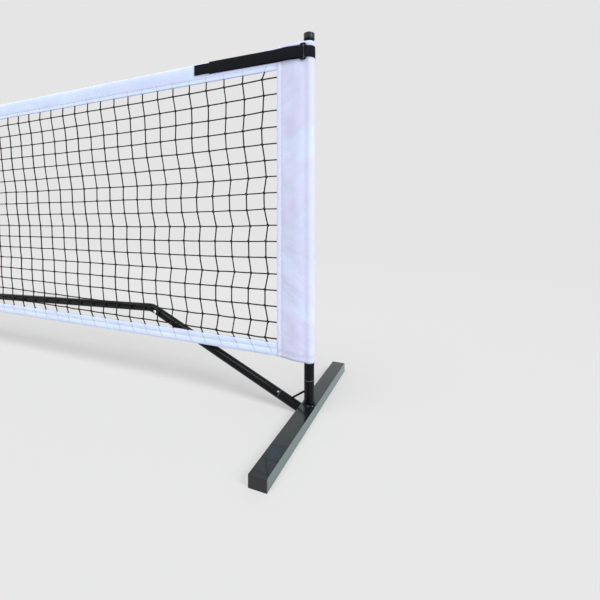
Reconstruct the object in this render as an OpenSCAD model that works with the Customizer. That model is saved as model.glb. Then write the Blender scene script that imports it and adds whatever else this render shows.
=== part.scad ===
// Portable pickleball net: a take-apart tube frame with three feet, and a
// net with a white border that hangs on its two end posts.
// X runs along the net, Y across the court and Z up. The origin lies on the
// ground below the middle of the net. Sizes are in millimetres.

/* [Net] */
// Distance between the axes of the two end posts
net_span = 6706; // [5500:1:7000]
// Height of the net's top edge at the end posts
top_z = 914; // [850:1:1000]
// Height of the net's top edge at the centre
centre_top_z = 864; // [800:1:900]
// Height of the net's bottom edge at the end posts
bottom_z = 129; // [110:1:180]
// Height of the net's bottom edge at the centre
centre_bottom_z = 114; // [108:1:160]
// Width of each side panel, from the post's axis to the mesh
panel_w = 79; // [60:1:140]
// How far a side panel's top edge falls over its width
panel_top_fall = 6.5; // [0:0.5:12]
// How far a side panel's bottom edge climbs over its width
panel_bottom_rise = 8; // [0:0.5:12]
// Width of the folded top tape
top_tape_w = 54; // [40:1:80]
// Width of the folded bottom tape
bottom_tape_w = 32; // [20:1:60]
// Thickness of one ply of the white cloth
cloth_t = 0.8; // [0.5:0.1:1.2]
// Thickness of the mesh's knotted cord
mesh_t = 2.4; // [1.6:0.1:3]
// Width of one strand of the mesh
strand_w = 3; // [2:0.5:6]
// Number of gaps along the mesh
mesh_columns = 46; // [24:2:46]
// Number of gaps up the mesh
mesh_rows = 6; // [3:1:6]
// How far the mesh's edges run into the tapes and panels
mesh_tuck = 12; // [6:1:18]
// Diameter of the cords inside the two tapes
tape_cord_d = 2; // [1:0.1:2.2]

/* [Tubes] */
// Outside diameter of the posts and upright stubs
tube_od = 25; // [22:0.5:30]
// Outside diameter of the bars, braces and inclined stubs
bar_od = 23; // [22:0.5:26]
// Wall of every round tube
tube_wall = 1.4; // [1:0.1:2]
// Gap all round between a tube and what slides into it
slip = 0.3; // [0.1:0.05:0.5]
// Length of the swaged end that joins two bars
splice_l = 45; // [38:1:80]
// Distance from a bar's mouth to its snap button
splice_button_in = 25; // [15:1:28]

/* [End feet] */
// Width of a foot
foot_w = 38; // [34:1:60]
// Height of a foot
foot_h = 25; // [25:1:40]
// Length of a foot over its end caps
foot_l = 526; // [400:1:700]
// Wall of the rectangular tube
foot_wall = 1.5; // [1:0.1:3]
// Thickness of the plate of a foot's end cap
foot_cap_t = 3; // [1.5:0.5:6]
// Height of the joint between an upright stub and its post
post_joint_z = 84; // [70:1:110]
// Length of an upright stub's swaged end inside its post
post_spigot_l = 60; // [51:1:90]
// Radius of the weld bead at the foot of an upright stub
bead = 3.5; // [1:0.5:5]

/* [Posts] */
// Height of the top of an end post's tube
post_top_z = 922; // [915:1:1000]
// Height of the rim of a post cap
cap_rim_h = 13; // [6:1:20]
// Height of the dome on a post cap
cap_dome_h = 5; // [3:0.5:10]
// How far the rim of an end post's cap stands proud of its tube
cap_lip = 1.2; // [0:0.1:1.6]
// Length of a post cap's plug
cap_plug_l = 18; // [8:1:40]

/* [Braces] */
// Height of a brace's axis at the side of the foot
brace_foot_z = 8; // [6:0.5:9]
// Length of the inclined stub on a foot, up to its joint with the brace
brace_stub_l = 65; // [60:1:90]
// Length of the inclined stub's swaged end inside the brace
brace_spigot_l = 50; // [40:1:60]
// Distance from the post's axis to the corner of the elbow
elbow_s = 500; // [420:1:600]
// Height of the corner of the elbow
elbow_z = 212.5; // [190:0.5:230]
// Radius of the elbow's centre line
elbow_r = 60; // [35:1:64]
// Length of the elbow's lower arm, from the corner to its mouth
elbow_arm = 36; // [34:1:60]
// Diameter of the rod between the inclined and the upright stub
strut_d = 5; // [3:0.5:8]
// Distance from the post's axis to the lower end of that rod
strut_s = 46; // [40:1:60]
// Height of the upper end of that rod
strut_z = 56; // [50:1:64]

/* [Snap buttons] */
// Diameter of the snap buttons in the bars and the elbow
button_d = 10; // [6:0.5:11]
// Diameter of the snap button above the inclined stub
stub_button_d = 6; // [4:0.5:8]
// Turn of that button, upwards from facing the front
stub_button_turn = 45; // [0:5:90]
// How far a snap button stands out of its hole
button_proud = 3; // [2:0.5:3.5]
// Gap all round between a snap button and its hole
button_gap = 0.3; // [0.2:0.05:0.6]
// Width of the strip of a snap button's spring
spring_w = 8; // [5:0.5:9]
// Thickness of that strip
spring_t = 0.8; // [0.5:0.1:1]
// Length of the spring's legs
spring_l = 30; // [20:1:30]

/* [Centre base] */
// Height of the bars' axes at the centre
socket_z = 84; // [70:1:90]
// Distance from the centre to the mouth of a bar socket
socket_l = 92; // [80:1:140]
// How far a bar reaches into its socket
socket_insert = 52; // [45:1:54]
// Height of the joint between the centre stub and its post
centre_joint_z = 132; // [120:1:180]
// How far the top of the centre post's tube lies below the net's top
centre_post_below = 6; // [0:1:20]

/* [Straps] */
// Height of the middle of the end straps
strap_z = 888; // [870:1:890]
// Width of the strap
strap_w = 28; // [20:1:32]
// Thickness of the straps
strap_t = 1.2; // [0.8:0.1:1.2]
// Width of the loop-side strap that is sewn on the net
base_w = 33; // [28:1:34]
// Distance from the post's axis to the end of that strap
base_end_s = 283; // [200:1:500]
// Distance from the post's axis to the tip of the strap
tail_end_s = 331; // [300:1:600]
// Width of the ring that the strap runs through
ring_w = 17; // [16:1:22]
// Height of that ring
ring_h = 42; // [40:1:50]
// Width of the ring's bars
ring_bar = 3; // [2:0.5:3.5]
// Depth of the ring's bars
ring_t = 2.6; // [2:0.1:2.8]
// Reach of the centre strap's sewn ends to each side
centre_strap_reach = 44; // [30:1:80]

/* [Hidden] */

$fn = 64;
hull_fn = 32;
arc_steps = 24;
eps = 0.01;
far = 2000;
weld_gap = 0.1;
plug_slip = 0.05;

// Colours
black_steel = [0.07, 0.08, 0.09];
black_plastic = [0.10, 0.10, 0.11];
bright_steel = [0.75, 0.76, 0.78];
white_cloth = [0.90, 0.91, 0.96];
black_cord = [0.05, 0.05, 0.06];
black_webbing = [0.06, 0.07, 0.08];

// Tubes
tube_r = tube_od / 2;
bore_r = tube_r - tube_wall;
spigot_r = bore_r - slip;
spigot_bore_r = spigot_r - tube_wall;
bar_r = bar_od / 2;
bar_bore_r = bar_r - tube_wall;
bar_spigot_r = bar_bore_r - slip;
bar_spigot_bore_r = bar_spigot_r - tube_wall;
socket_bore_r = bar_r + slip;
socket_r = socket_bore_r + tube_wall;
shoulder = 3;

// Frame lines, as distances from the post's axis towards the centre
post_x = net_span / 2;
foot_half_w = foot_w / 2;
brace_angle = atan((elbow_z - brace_foot_z) / (elbow_s - foot_half_w));
brace_run = norm([elbow_s - foot_half_w, elbow_z - brace_foot_z]);
bar_angle = atan((elbow_z - socket_z) / (post_x - elbow_s));
bar_run = norm([post_x - elbow_s, elbow_z - socket_z]);
elbow_turn = brace_angle + bar_angle;
elbow_tangent = elbow_r * tan(elbow_turn / 2);
elbow_mouth = brace_run - elbow_arm;
elbow_spigot_l = elbow_arm - elbow_tangent - 1.5;
elbow_button_in = elbow_spigot_l * 2 / 3;
bars_end = bar_run - socket_l;
bar_step = bars_end / 3;
splice_1 = bar_step;
splice_2 = 2 * bar_step;

// Snap buttons
spring_half = spring_w / 2;
wall_clear = 0.3;
button_flush = 0.5;
spring_tip = 6;
dome_share = 0.65;
stub_button_out = stub_button_d / 2 + 2.8;
front = -90;
back = 90;
socket_button_in = splice_button_in;

// Net layers, front to back
net_gap = 0.5;
sleeve_r = tube_r + net_gap;
sleeve_out = sleeve_r + cloth_t;
net_half = cloth_t + mesh_t / 2;
net_y = -(tube_r + net_gap + net_half);
centre_cap_lip = min(cap_lip, net_gap - weld_gap);
net_front = net_y - net_half;
net_back = net_y + net_half;
mesh_x = post_x - panel_w;
panel_edge_top = top_z - panel_top_fall;
panel_edge_bottom = bottom_z + panel_bottom_rise;
sleeve_seam_s = 30;

// Straps, as depths in front of the post's axis
strap_gap = 0.3;
strap_slack = 0.6;
ring_s = 1.5;
ring_front = -(sleeve_out + strap_t + 2 * strap_gap + strap_slack + ring_t);
ring_back = ring_front + ring_t;
base_front = net_front - strap_t;
over_ring = ring_front - strap_gap;
over_base = base_front - strap_gap;
hinge_in = 2.3;
hinge_drop = 0.2;
hinge_s = ring_s + ring_w - ring_bar - hinge_in;
hinge_y = over_ring - strap_t / 2 + hinge_drop;
fold_cut = 0.6;

// Centre strap
centre_strap_z = centre_top_z - top_tape_w / 2;
centre_strap_in = tube_r + 0.4;
centre_strap_out = centre_strap_in + strap_t;

// Height of the net's top and bottom edge at a distance x from the centre
function top_at(x) = centre_top_z + (panel_edge_top - centre_top_z) * abs(x) / mesh_x;
function bottom_at(x) =
  centre_bottom_z + (panel_edge_bottom - centre_bottom_z) * abs(x) / mesh_x;
// Height of the upper and lower edge of the open mesh
function open_top(x) = top_at(x) - top_tape_w;
function open_bottom(x) = bottom_at(x) + bottom_tape_w;
// Height of a mesh line, given as a share of the open height
function mesh_z(x, share) = open_bottom(x) + (open_top(x) - open_bottom(x)) * share;

// ---- Placing ----

// Draws a right-hand piece, or its mirror image on the left
module on_side(side) {
  if (side > 0) children();
  else mirror([1, 0, 0]) children();
}

// Z along the brace from the side of the foot, X upwards
module brace_frame() {
  translate([post_x - foot_half_w, 0, brace_foot_z])
    rotate([0, brace_angle - 90, 0])
      children();
}

// Z along the bars from the elbow's corner towards the centre, X upwards
module bar_frame() {
  translate([post_x - elbow_s, 0, elbow_z])
    rotate([0, -90 - bar_angle, 0])
      children();
}

// An outline of the net's plane, X along the net and Y up, made t thick
module in_net_plane(y_front, t) {
  translate([0, y_front + t, 0])
    rotate([90, 0, 0])
      linear_extrude(height = t)
        children();
}

// Points on an arc about the origin, from one angle to another
function arc_points(r, from, to) = [
  for (i = [0:arc_steps])
    r * [cos(from + (to - from) * i / arc_steps), sin(from + (to - from) * i / arc_steps)]
];

// A plan outline, made h high about the height z
module level_band(z, h) {
  translate([0, 0, z - h / 2])
    linear_extrude(height = h)
      children();
}

// Turns X to a direction round a tube, at a distance along it
module at_button(along, turn) {
  translate([0, 0, along])
    rotate([0, 0, turn])
      children();
}

module at_stub_button() {
  brace_frame()
    at_button(brace_stub_l + stub_button_out, front + stub_button_turn)
      children();
}

module at_elbow_button() {
  brace_frame()
    at_button(elbow_mouth + elbow_button_in, front)
      mirror([0, 0, 1])
        children();
}

module at_splice_button(mouth) {
  bar_frame()
    at_button(mouth - splice_button_in, back)
      children();
}

module at_socket_button() {
  bar_frame()
    at_button(bars_end + socket_button_in, back)
      mirror([0, 0, 1])
        children();
}

// ---- Shared shapes ----

// A straight round bar between two points of the XZ plane
module rod_between(a, b, r) {
  run = b - a;
  translate([a[0], 0, a[1]])
    rotate([0, 90 - atan2(run[1], run[0]), 0])
      cylinder(r = r, h = norm(run));
}

// The hole for a snap button, from the tube's axis outwards along X
module button_hole(d) {
  rotate([0, 90, 0])
    cylinder(d = d + 2 * button_gap, h = socket_r + 1);
}

// The face of a spring's leg that faces the tube's wall
function leg_face(r_in) = sqrt(pow(r_in - wall_clear, 2) - pow(spring_half, 2));

// A snap button on the free leg of its spring, X outwards
module snap_button(r_in, r_out, d) {
  face = leg_face(r_in);
  tip = r_out + button_proud;
  dome_r = d * dome_share;
  color(bright_steel)
    union() {
      translate([face - spring_t, -spring_half, -spring_tip])
        cube([spring_t, spring_w, spring_l]);
      rotate([0, 90, 0])
        intersection() {
          translate([0, 0, face - spring_t / 2])
            cylinder(d = d, h = tip - face + spring_t / 2);
          translate([0, 0, tip - dome_r])
            sphere(r = dome_r);
        }
      rotate([0, 90, 0])
        translate([0, 0, face - spring_t / 2])
          cylinder(d = d, h = r_out - face + spring_t / 2);
    }
}

// The bend and the fixed leg of a snap button's spring
module snap_spring(r_in) {
  face = leg_face(r_in);
  end = spring_l - spring_tip + wall_clear;
  color(bright_steel)
    union() {
      translate([-face, -spring_half, -spring_tip])
        cube([spring_t, spring_w, end + spring_tip]);
      translate([0, 0, end])
        intersection() {
          rotate([90, 0, 0])
            difference() {
              cylinder(r = face, h = spring_w, center = true);
              cylinder(r = face - spring_t, h = spring_w + 2, center = true);
            }
          translate([-face - 1, -spring_half - 1, 0])
            cube([2 * face + 2, spring_w + 2, face + 1]);
        }
    }
}

// A rectangular foot tube along Y, standing on the ground
module foot_tube() {
  run = foot_l - 2 * foot_cap_t;
  color(black_steel)
    difference() {
      translate([-foot_half_w, -run / 2, 0])
        cube([foot_w, run, foot_h]);
      translate([foot_wall - foot_half_w, -run / 2 - 1, foot_wall])
        cube([foot_w - 2 * foot_wall, run + 2, foot_h - 2 * foot_wall]);
    }
}

// The two plugs that close a foot tube
module foot_end_caps() {
  plug_gap = foot_wall + 3 * plug_slip;
  plug_l = 14;
  color(black_plastic)
    for (end = [0, 180])
      rotate([0, 0, end]) {
        translate([-foot_half_w, foot_l / 2 - foot_cap_t, 0])
          cube([foot_w, foot_cap_t, foot_h]);
        translate([plug_gap - foot_half_w, foot_l / 2 - foot_cap_t - plug_l, plug_gap])
          cube([foot_w - 2 * plug_gap, plug_l + eps, foot_h - 2 * plug_gap]);
      }
}

// An upright stub with its swaged end and the weld bead at its foot
module upright_stub(joint_z) {
  color(black_steel)
    difference() {
      union() {
        translate([0, 0, foot_h])
          cylinder(r = tube_r, h = joint_z - foot_h);
        translate([0, 0, foot_h])
          rotate_extrude()
            polygon([
              [tube_r - tube_wall / 2, 0], [tube_r + bead, 0],
              [tube_r + bead * 0.85, bead * 0.45], [tube_r + bead * 0.45, bead * 0.85],
              [tube_r, bead], [tube_r - tube_wall / 2, bead]
            ]);
        translate([0, 0, joint_z - eps])
          cylinder(r = spigot_r, h = post_spigot_l + eps);
      }
      translate([0, 0, foot_h - 1])
        cylinder(r = bore_r, h = joint_z - shoulder - foot_h + 1);
      translate([0, 0, foot_h - 1])
        cylinder(r = spigot_bore_r, h = joint_z + post_spigot_l);
    }
}

// A post's tube from just above its joint to its top
module post_tube(joint_z, z_top) {
  color(black_steel)
    translate([0, 0, joint_z + wall_clear])
      difference() {
        cylinder(r = tube_r, h = z_top - joint_z - wall_clear);
        translate([0, 0, -1])
          cylinder(r = bore_r, h = z_top - joint_z + 2);
      }
}

// The plug, rim and dome of a post's cap
module post_end_cap(z_top, lip) {
  cap_r = tube_r + lip;
  dome_r = (cap_r * cap_r + cap_dome_h * cap_dome_h) / (2 * cap_dome_h);
  color(black_plastic)
    translate([0, 0, z_top]) {
      translate([0, 0, -cap_plug_l])
        cylinder(r = bore_r - plug_slip, h = cap_plug_l + eps);
      cylinder(r = cap_r, h = cap_rim_h);
      translate([0, 0, cap_rim_h - eps])
        intersection() {
          translate([0, 0, cap_dome_h - dome_r])
            sphere(r = dome_r);
          cylinder(r = cap_r, h = cap_dome_h + 1);
        }
    }
}

// ---- Frame, right-hand side ----

module foot() {
  translate([post_x, 0, 0]) foot_tube();
}

module foot_caps() {
  translate([post_x, 0, 0]) foot_end_caps();
}

module side_upright_stub() {
  translate([post_x, 0, 0]) upright_stub(post_joint_z);
}

// The inclined stub with its swaged end, cut off at the side of the foot and at the ground
module inclined_stub() {
  reach = brace_stub_l + brace_spigot_l + 2 * bar_r;
  color(black_steel)
    difference() {
      intersection() {
        brace_frame()
          difference() {
            union() {
              translate([0, 0, -2 * bar_r])
                cylinder(r = bar_r, h = brace_stub_l + 2 * bar_r);
              translate([0, 0, brace_stub_l - 1])
                cylinder(r = bar_spigot_r, h = brace_spigot_l + 1);
            }
            translate([0, 0, -3 * bar_r])
              cylinder(r = bar_bore_r, h = brace_stub_l - shoulder + 3 * bar_r);
            translate([0, 0, -3 * bar_r])
              cylinder(r = bar_spigot_bore_r, h = reach + 3 * bar_r);
          }
        translate([post_x - foot_half_w - reach, -reach, 0])
          cube([reach, 2 * reach, reach]);
      }
      at_stub_button() button_hole(stub_button_d);
    }
}

// The rod that ties the inclined stub to the upright one
module stub_strut() {
  drop = (bar_r - 1) / cos(brace_angle);
  low_z = brace_foot_z + (strut_s - foot_half_w) * tan(brace_angle) + drop;
  color(black_steel)
    difference() {
      rod_between([post_x - strut_s, low_z], [post_x - tube_r + 3, strut_z], strut_d / 2);
      brace_frame()
        translate([0, 0, -bar_r])
          cylinder(r = bar_r + weld_gap, h = brace_stub_l + 2 * bar_r);
      translate([post_x, 0, 0])
        cylinder(r = tube_r + weld_gap, h = post_joint_z);
    }
}

module post() {
  translate([post_x, 0, 0]) post_tube(post_joint_z, post_top_z);
}

module post_cap() {
  translate([post_x, 0, 0]) post_end_cap(post_top_z, cap_lip);
}

// The brace, from its joint with the inclined stub to its swaged end in the elbow
module brace_tube() {
  start = brace_stub_l + wall_clear;
  color(black_steel)
    difference() {
      brace_frame()
        difference() {
          union() {
            translate([0, 0, start])
              cylinder(r = bar_r, h = elbow_mouth - start - wall_clear);
            translate([0, 0, elbow_mouth - 1])
              cylinder(r = bar_spigot_r, h = elbow_spigot_l + 1);
          }
          translate([0, 0, start - 1])
            cylinder(r = bar_bore_r, h = elbow_mouth - shoulder - start + 1);
          translate([0, 0, elbow_mouth - 2 * shoulder])
            cylinder(r = bar_spigot_bore_r, h = elbow_spigot_l + 3 * shoulder);
        }
      at_stub_button() button_hole(stub_button_d);
      at_elbow_button() button_hole(button_d);
    }
}

// Z down the elbow's lower arm, from the end of its bend
module elbow_arm_frame() {
  bar_frame()
    translate([-elbow_r, 0, elbow_tangent])
      rotate([-90, 0, 0])
        rotate([0, 0, elbow_turn])
          translate([elbow_r, 0, 0])
            rotate([-90, 0, 0])
              children();
}

// The outer bar with its bent elbow, bored from both ends to just short of the bend
module outer_bar() {
  short = 1;
  color(black_steel)
    difference() {
      bar_frame() {
        translate([0, 0, elbow_tangent])
          cylinder(r = bar_r, h = splice_1 - elbow_tangent);
        translate([-elbow_r, 0, elbow_tangent])
          rotate([-90, 0, 0]) {
            rotate_extrude(angle = elbow_turn)
              translate([elbow_r, 0])
                circle(r = bar_r);
            rotate([0, 0, elbow_turn])
              translate([elbow_r, 0, 0])
                rotate([-90, 0, 0])
                  cylinder(r = bar_r, h = elbow_arm - elbow_tangent);
          }
      }
      bar_frame()
        translate([0, 0, elbow_tangent + short])
          cylinder(r = bar_bore_r, h = splice_1);
      elbow_arm_frame()
        translate([0, 0, short])
          cylinder(r = bar_bore_r, h = elbow_arm);
      at_elbow_button() button_hole(button_d);
      at_splice_button(splice_1) button_hole(button_d);
    }
}

// A straight bar with a swaged end at its mouth
module straight_bar(mouth, end) {
  bar_frame()
    difference() {
      union() {
        translate([0, 0, mouth + wall_clear])
          cylinder(r = bar_r, h = end - mouth - wall_clear);
        translate([0, 0, mouth - splice_l])
          cylinder(r = bar_spigot_r, h = splice_l + 1);
      }
      translate([0, 0, mouth + shoulder])
        cylinder(r = bar_bore_r, h = end - mouth);
      translate([0, 0, mouth - splice_l - 1])
        cylinder(r = bar_spigot_bore_r, h = splice_l + 2 * shoulder);
    }
}

module middle_bar() {
  color(black_steel)
    difference() {
      straight_bar(splice_1, splice_2);
      at_splice_button(splice_1) button_hole(button_d);
      at_splice_button(splice_2) button_hole(button_d);
    }
}

module inner_bar() {
  color(black_steel)
    difference() {
      straight_bar(splice_2, bars_end + socket_insert);
      at_splice_button(splice_2) button_hole(button_d);
      at_socket_button() button_hole(button_d);
    }
}

// ---- Snap buttons, right-hand side ----

module stub_button() {
  at_stub_button() snap_button(bar_spigot_bore_r, bar_r, stub_button_d);
}

module elbow_button() {
  at_elbow_button() snap_button(bar_spigot_bore_r, bar_r, button_d);
}

module outer_splice_button() {
  at_splice_button(splice_1) snap_button(bar_spigot_bore_r, bar_r, button_d);
}

module inner_splice_button() {
  at_splice_button(splice_2) snap_button(bar_spigot_bore_r, bar_r, button_d);
}

module socket_button() {
  at_socket_button() snap_button(bar_bore_r, socket_r, button_d);
}

module snap_springs() {
  at_stub_button() snap_spring(bar_spigot_bore_r);
  at_elbow_button() snap_spring(bar_spigot_bore_r);
  at_splice_button(splice_1) snap_spring(bar_spigot_bore_r);
  at_splice_button(splice_2) snap_spring(bar_spigot_bore_r);
  at_socket_button() snap_spring(bar_bore_r);
}

// ---- Centre base ----

module centre_foot() {
  foot_tube();
}

module centre_foot_caps() {
  foot_end_caps();
}

module centre_stub() {
  upright_stub(centre_joint_z);
}

// One bar socket, cut to the side of the centre stub
module bar_socket() {
  difference() {
    bar_frame()
      difference() {
        translate([0, 0, bars_end])
          cylinder(r = socket_r, h = socket_l);
        translate([0, 0, bars_end - 1])
          cylinder(r = socket_bore_r, h = socket_l + 2);
      }
    translate([0, 0, socket_z - 2 * socket_r])
      cylinder(r = tube_r + weld_gap, h = 4 * socket_r);
    translate([-far + tube_r / 2, -far, -far])
      cube([far, 2 * far, 2 * far]);
    at_socket_button() button_hole(button_d);
  }
}

module bar_sockets() {
  color(black_steel) {
    bar_socket();
    mirror([1, 0, 0]) bar_socket();
  }
}

module centre_post() {
  post_tube(centre_joint_z, centre_top_z - centre_post_below);
}

module centre_post_cap() {
  post_end_cap(centre_top_z - centre_post_below, centre_cap_lip);
}

// ---- Net ----

// One gap of the mesh, as a four-cornered outline
module mesh_gap(column, row) {
  pitch = 2 * mesh_x / mesh_columns;
  half = strand_w / 2;
  x0 = column * pitch - mesh_x + half;
  x1 = x0 + pitch - strand_w;
  low = row / mesh_rows;
  high = (row + 1) / mesh_rows;
  polygon([
    [x0, mesh_z(x0, low) + half], [x1, mesh_z(x1, low) + half],
    [x1, mesh_z(x1, high) - half], [x0, mesh_z(x0, high) - half]
  ]);
}

module net_mesh() {
  end = mesh_x + mesh_tuck;
  color(black_cord)
    in_net_plane(net_y - mesh_t / 2, mesh_t)
      difference() {
        polygon([
          [-end, open_bottom(end) - mesh_tuck], [0, open_bottom(0) - mesh_tuck],
          [end, open_bottom(end) - mesh_tuck], [end, open_top(end) + mesh_tuck],
          [0, open_top(0) + mesh_tuck], [-end, open_top(end) + mesh_tuck]
        ]);
        for (column = [0:mesh_columns - 1])
          for (row = [0:mesh_rows - 1])
            mesh_gap(column, row);
      }
}

module top_band(end, low, high) {
  polygon([
    [-end, top_at(end) - low], [0, top_at(0) - low], [end, top_at(end) - low],
    [end, top_at(end) - high], [0, top_at(0) - high], [-end, top_at(end) - high]
  ]);
}

module bottom_band(end, low, high) {
  polygon([
    [-end, bottom_at(end) + low], [0, bottom_at(0) + low], [end, bottom_at(end) + low],
    [end, bottom_at(end) + high], [0, bottom_at(0) + high], [-end, bottom_at(end) + high]
  ]);
}

module top_tape() {
  color(white_cloth)
    difference() {
      in_net_plane(net_front, 2 * net_half)
        top_band(mesh_x, top_tape_w, 0);
      in_net_plane(net_y - mesh_t / 2, mesh_t)
        top_band(mesh_x + 1, top_tape_w + 1, cloth_t);
    }
}

module bottom_tape() {
  color(white_cloth)
    difference() {
      in_net_plane(net_front, 2 * net_half)
        bottom_band(mesh_x, 0, bottom_tape_w);
      in_net_plane(net_y - mesh_t / 2, mesh_t)
        bottom_band(mesh_x + 1, cloth_t, bottom_tape_w + 1);
    }
}

// A cord in two straight runs, bent at the centre
module tape_cord(end_z, middle_z) {
  end = mesh_x + mesh_tuck;
  color(black_cord)
    translate([0, net_y, 0]) {
      rod_between([0, middle_z], [end, end_z], tape_cord_d / 2);
      rod_between([0, middle_z], [-end, end_z], tape_cord_d / 2);
      translate([0, 0, middle_z])
        sphere(d = tape_cord_d);
    }
}

module top_tape_cord() {
  inset = cloth_t + tape_cord_d / 2 + 0.1;
  tape_cord(top_at(mesh_x + mesh_tuck) - inset, top_at(0) - inset);
}

module bottom_tape_cord() {
  inset = cloth_t + tape_cord_d / 2 + 0.1;
  tape_cord(bottom_at(mesh_x + mesh_tuck) + inset, bottom_at(0) + inset);
}

// Plan of a sleeve round the post that closes to a flat band at its seam
module sleeve_plan(r, low, high) {
  hull() {
    circle(r = r, $fn = hull_fn);
    translate([-sleeve_seam_s, low])
      square([1, high - low]);
  }
}

// Plan of a side panel: the sleeve and the flat band from its seam to the mesh
module panel_plan(r, half, over) {
  sleeve_plan(r, net_y - half, net_y + half);
  translate([-panel_w - over, net_y - half])
    square([panel_w - sleeve_seam_s + over + 0.5, 2 * half]);
}

module side_panel() {
  outside = 2 * sleeve_out;
  color(white_cloth)
    translate([post_x, 0, 0])
      intersection() {
        linear_extrude(height = top_z + 1)
          difference() {
            panel_plan(sleeve_out, net_half, 0);
            panel_plan(sleeve_r, mesh_t / 2, 1);
          }
        in_net_plane(-outside, 2 * outside)
          polygon([
            [outside, bottom_z], [outside, top_z], [0, top_z],
            [-panel_w - 1, panel_edge_top], [-panel_w - 1, panel_edge_bottom], [0, bottom_z]
          ]);
      }
}

// ---- Straps, right-hand side ----

module strap_base() {
  start = ring_s + ring_w;
  color(black_webbing)
    translate([post_x - base_end_s, base_front, strap_z - base_w / 2])
      cube([base_end_s - start, strap_t, base_w]);
}

// The strap from the panel's back round the post and into the ring
module strap_loop() {
  inner_r = sleeve_out + strap_gap;
  outer_r = inner_r + strap_t;
  sewn_l = 32;
  seam = [-sleeve_seam_s - 1, net_back + strap_t / 2];
  leave = 360 + atan2(seam[1], seam[0]) - acos((inner_r + strap_t / 2) / norm(seam));
  ramp_s = ring_s + ring_bar - 0.3;
  end_s = hinge_s - fold_cut - 0.6;
  slack = 0.5;
  color(black_webbing)
    translate([post_x, 0, 0])
      level_band(strap_z, strap_w)
        polygon(concat(
          [[-end_s, hinge_y - strap_t / 2 + hinge_drop / 2], [-ramp_s, -outer_r - slack]],
          arc_points(outer_r, front, leave),
          [[seam[0], net_back + strap_t], [seam[0] - sewn_l, net_back + strap_t]],
          [[seam[0] - sewn_l, net_back], [seam[0], net_back]],
          arc_points(inner_r, leave, front),
          [[-ramp_s, -inner_r - slack], [-end_s, hinge_y + strap_t / 2 + 0.3]]
        ));
}

// The free end of the strap, from the ring's bar to its tip
module strap_tail() {
  start_s = hinge_s - fold_cut;
  rise_s = ring_s + ring_w - ring_bar - 0.7;
  clear_s = ring_s + ring_w + 0.7;
  flat_s = clear_s + 21;
  color(black_webbing)
    translate([post_x, 0, 0])
      level_band(strap_z, strap_w)
        polygon([
          [-start_s, over_ring + hinge_drop], [-rise_s, over_ring], [-clear_s, over_ring],
          [-flat_s, over_base], [-tail_end_s, over_base],
          [-tail_end_s, over_base - strap_t], [-flat_s, over_base - strap_t],
          [-clear_s, over_ring - strap_t], [-rise_s, over_ring - strap_t],
          [-start_s, over_ring - strap_t + hinge_drop]
        ]);
}

module strap_ring() {
  color(black_plastic)
    translate([post_x - ring_s - ring_w, ring_front, strap_z - ring_h / 2])
      difference() {
        cube([ring_w, ring_t, ring_h]);
        translate([ring_bar, -1, ring_bar])
          cube([ring_w - 2 * ring_bar, ring_t + 2, ring_h - 2 * ring_bar]);
      }
}

// The strap round the centre post, with both ends sewn on the tape's back
module centre_strap() {
  sewn_back = net_back + strap_t;
  color(black_webbing)
    level_band(centre_strap_z, strap_w)
      polygon(concat(
        [[centre_strap_in, net_back], [centre_strap_reach, net_back]],
        [[centre_strap_reach, sewn_back], [centre_strap_out, sewn_back]],
        arc_points(centre_strap_out, 0, 180),
        [[-centre_strap_out, sewn_back], [-centre_strap_reach, sewn_back]],
        [[-centre_strap_reach, net_back], [-centre_strap_in, net_back]],
        arc_points(centre_strap_in, 180, 0)
      ));
}

// The strap's free end, pressed on its sewn end behind the net
module centre_strap_tail() {
  start = centre_strap_out + 0.5;
  color(black_webbing)
    level_band(centre_strap_z, strap_w)
      translate([start, net_back + strap_t + strap_gap])
        square([centre_strap_reach + 16 - start, strap_t]);
}

on_side(1) foot();  // foot_right
on_side(-1) foot();  // foot_left
on_side(1) foot_caps();  // foot_caps_right
on_side(-1) foot_caps();  // foot_caps_left
on_side(1) side_upright_stub();  // upright_stub_right
on_side(-1) side_upright_stub();  // upright_stub_left
on_side(1) inclined_stub();  // inclined_stub_right
on_side(-1) inclined_stub();  // inclined_stub_left
on_side(1) stub_strut();  // stub_strut_right
on_side(-1) stub_strut();  // stub_strut_left
on_side(1) post();  // post_right
on_side(-1) post();  // post_left
on_side(1) post_cap();  // post_cap_right
on_side(-1) post_cap();  // post_cap_left
on_side(1) brace_tube();  // brace_tube_right
on_side(-1) brace_tube();  // brace_tube_left
on_side(1) outer_bar();  // outer_bar_right
on_side(-1) outer_bar();  // outer_bar_left
on_side(1) middle_bar();  // middle_bar_right
on_side(-1) middle_bar();  // middle_bar_left
on_side(1) inner_bar();  // inner_bar_right
on_side(-1) inner_bar();  // inner_bar_left
on_side(1) stub_button();  // stub_button_right
on_side(-1) stub_button();  // stub_button_left
on_side(1) elbow_button();  // elbow_button_right
on_side(-1) elbow_button();  // elbow_button_left
on_side(1) outer_splice_button();  // outer_splice_button_right
on_side(-1) outer_splice_button();  // outer_splice_button_left
on_side(1) inner_splice_button();  // inner_splice_button_right
on_side(-1) inner_splice_button();  // inner_splice_button_left
on_side(1) socket_button();  // socket_button_right
on_side(-1) socket_button();  // socket_button_left
on_side(1) snap_springs();  // snap_springs_right
on_side(-1) snap_springs();  // snap_springs_left
centre_foot();
centre_foot_caps();
centre_stub();
bar_sockets();
centre_post();
centre_post_cap();
net_mesh();
top_tape();
bottom_tape();
top_tape_cord();
bottom_tape_cord();
on_side(1) side_panel();  // side_panel_right
on_side(-1) side_panel();  // side_panel_left
on_side(1) strap_base();  // strap_base_right
on_side(-1) strap_base();  // strap_base_left
on_side(1) strap_loop();  // strap_loop_right
on_side(-1) strap_loop();  // strap_loop_left
on_side(1) strap_tail();  // strap_tail_right
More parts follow.
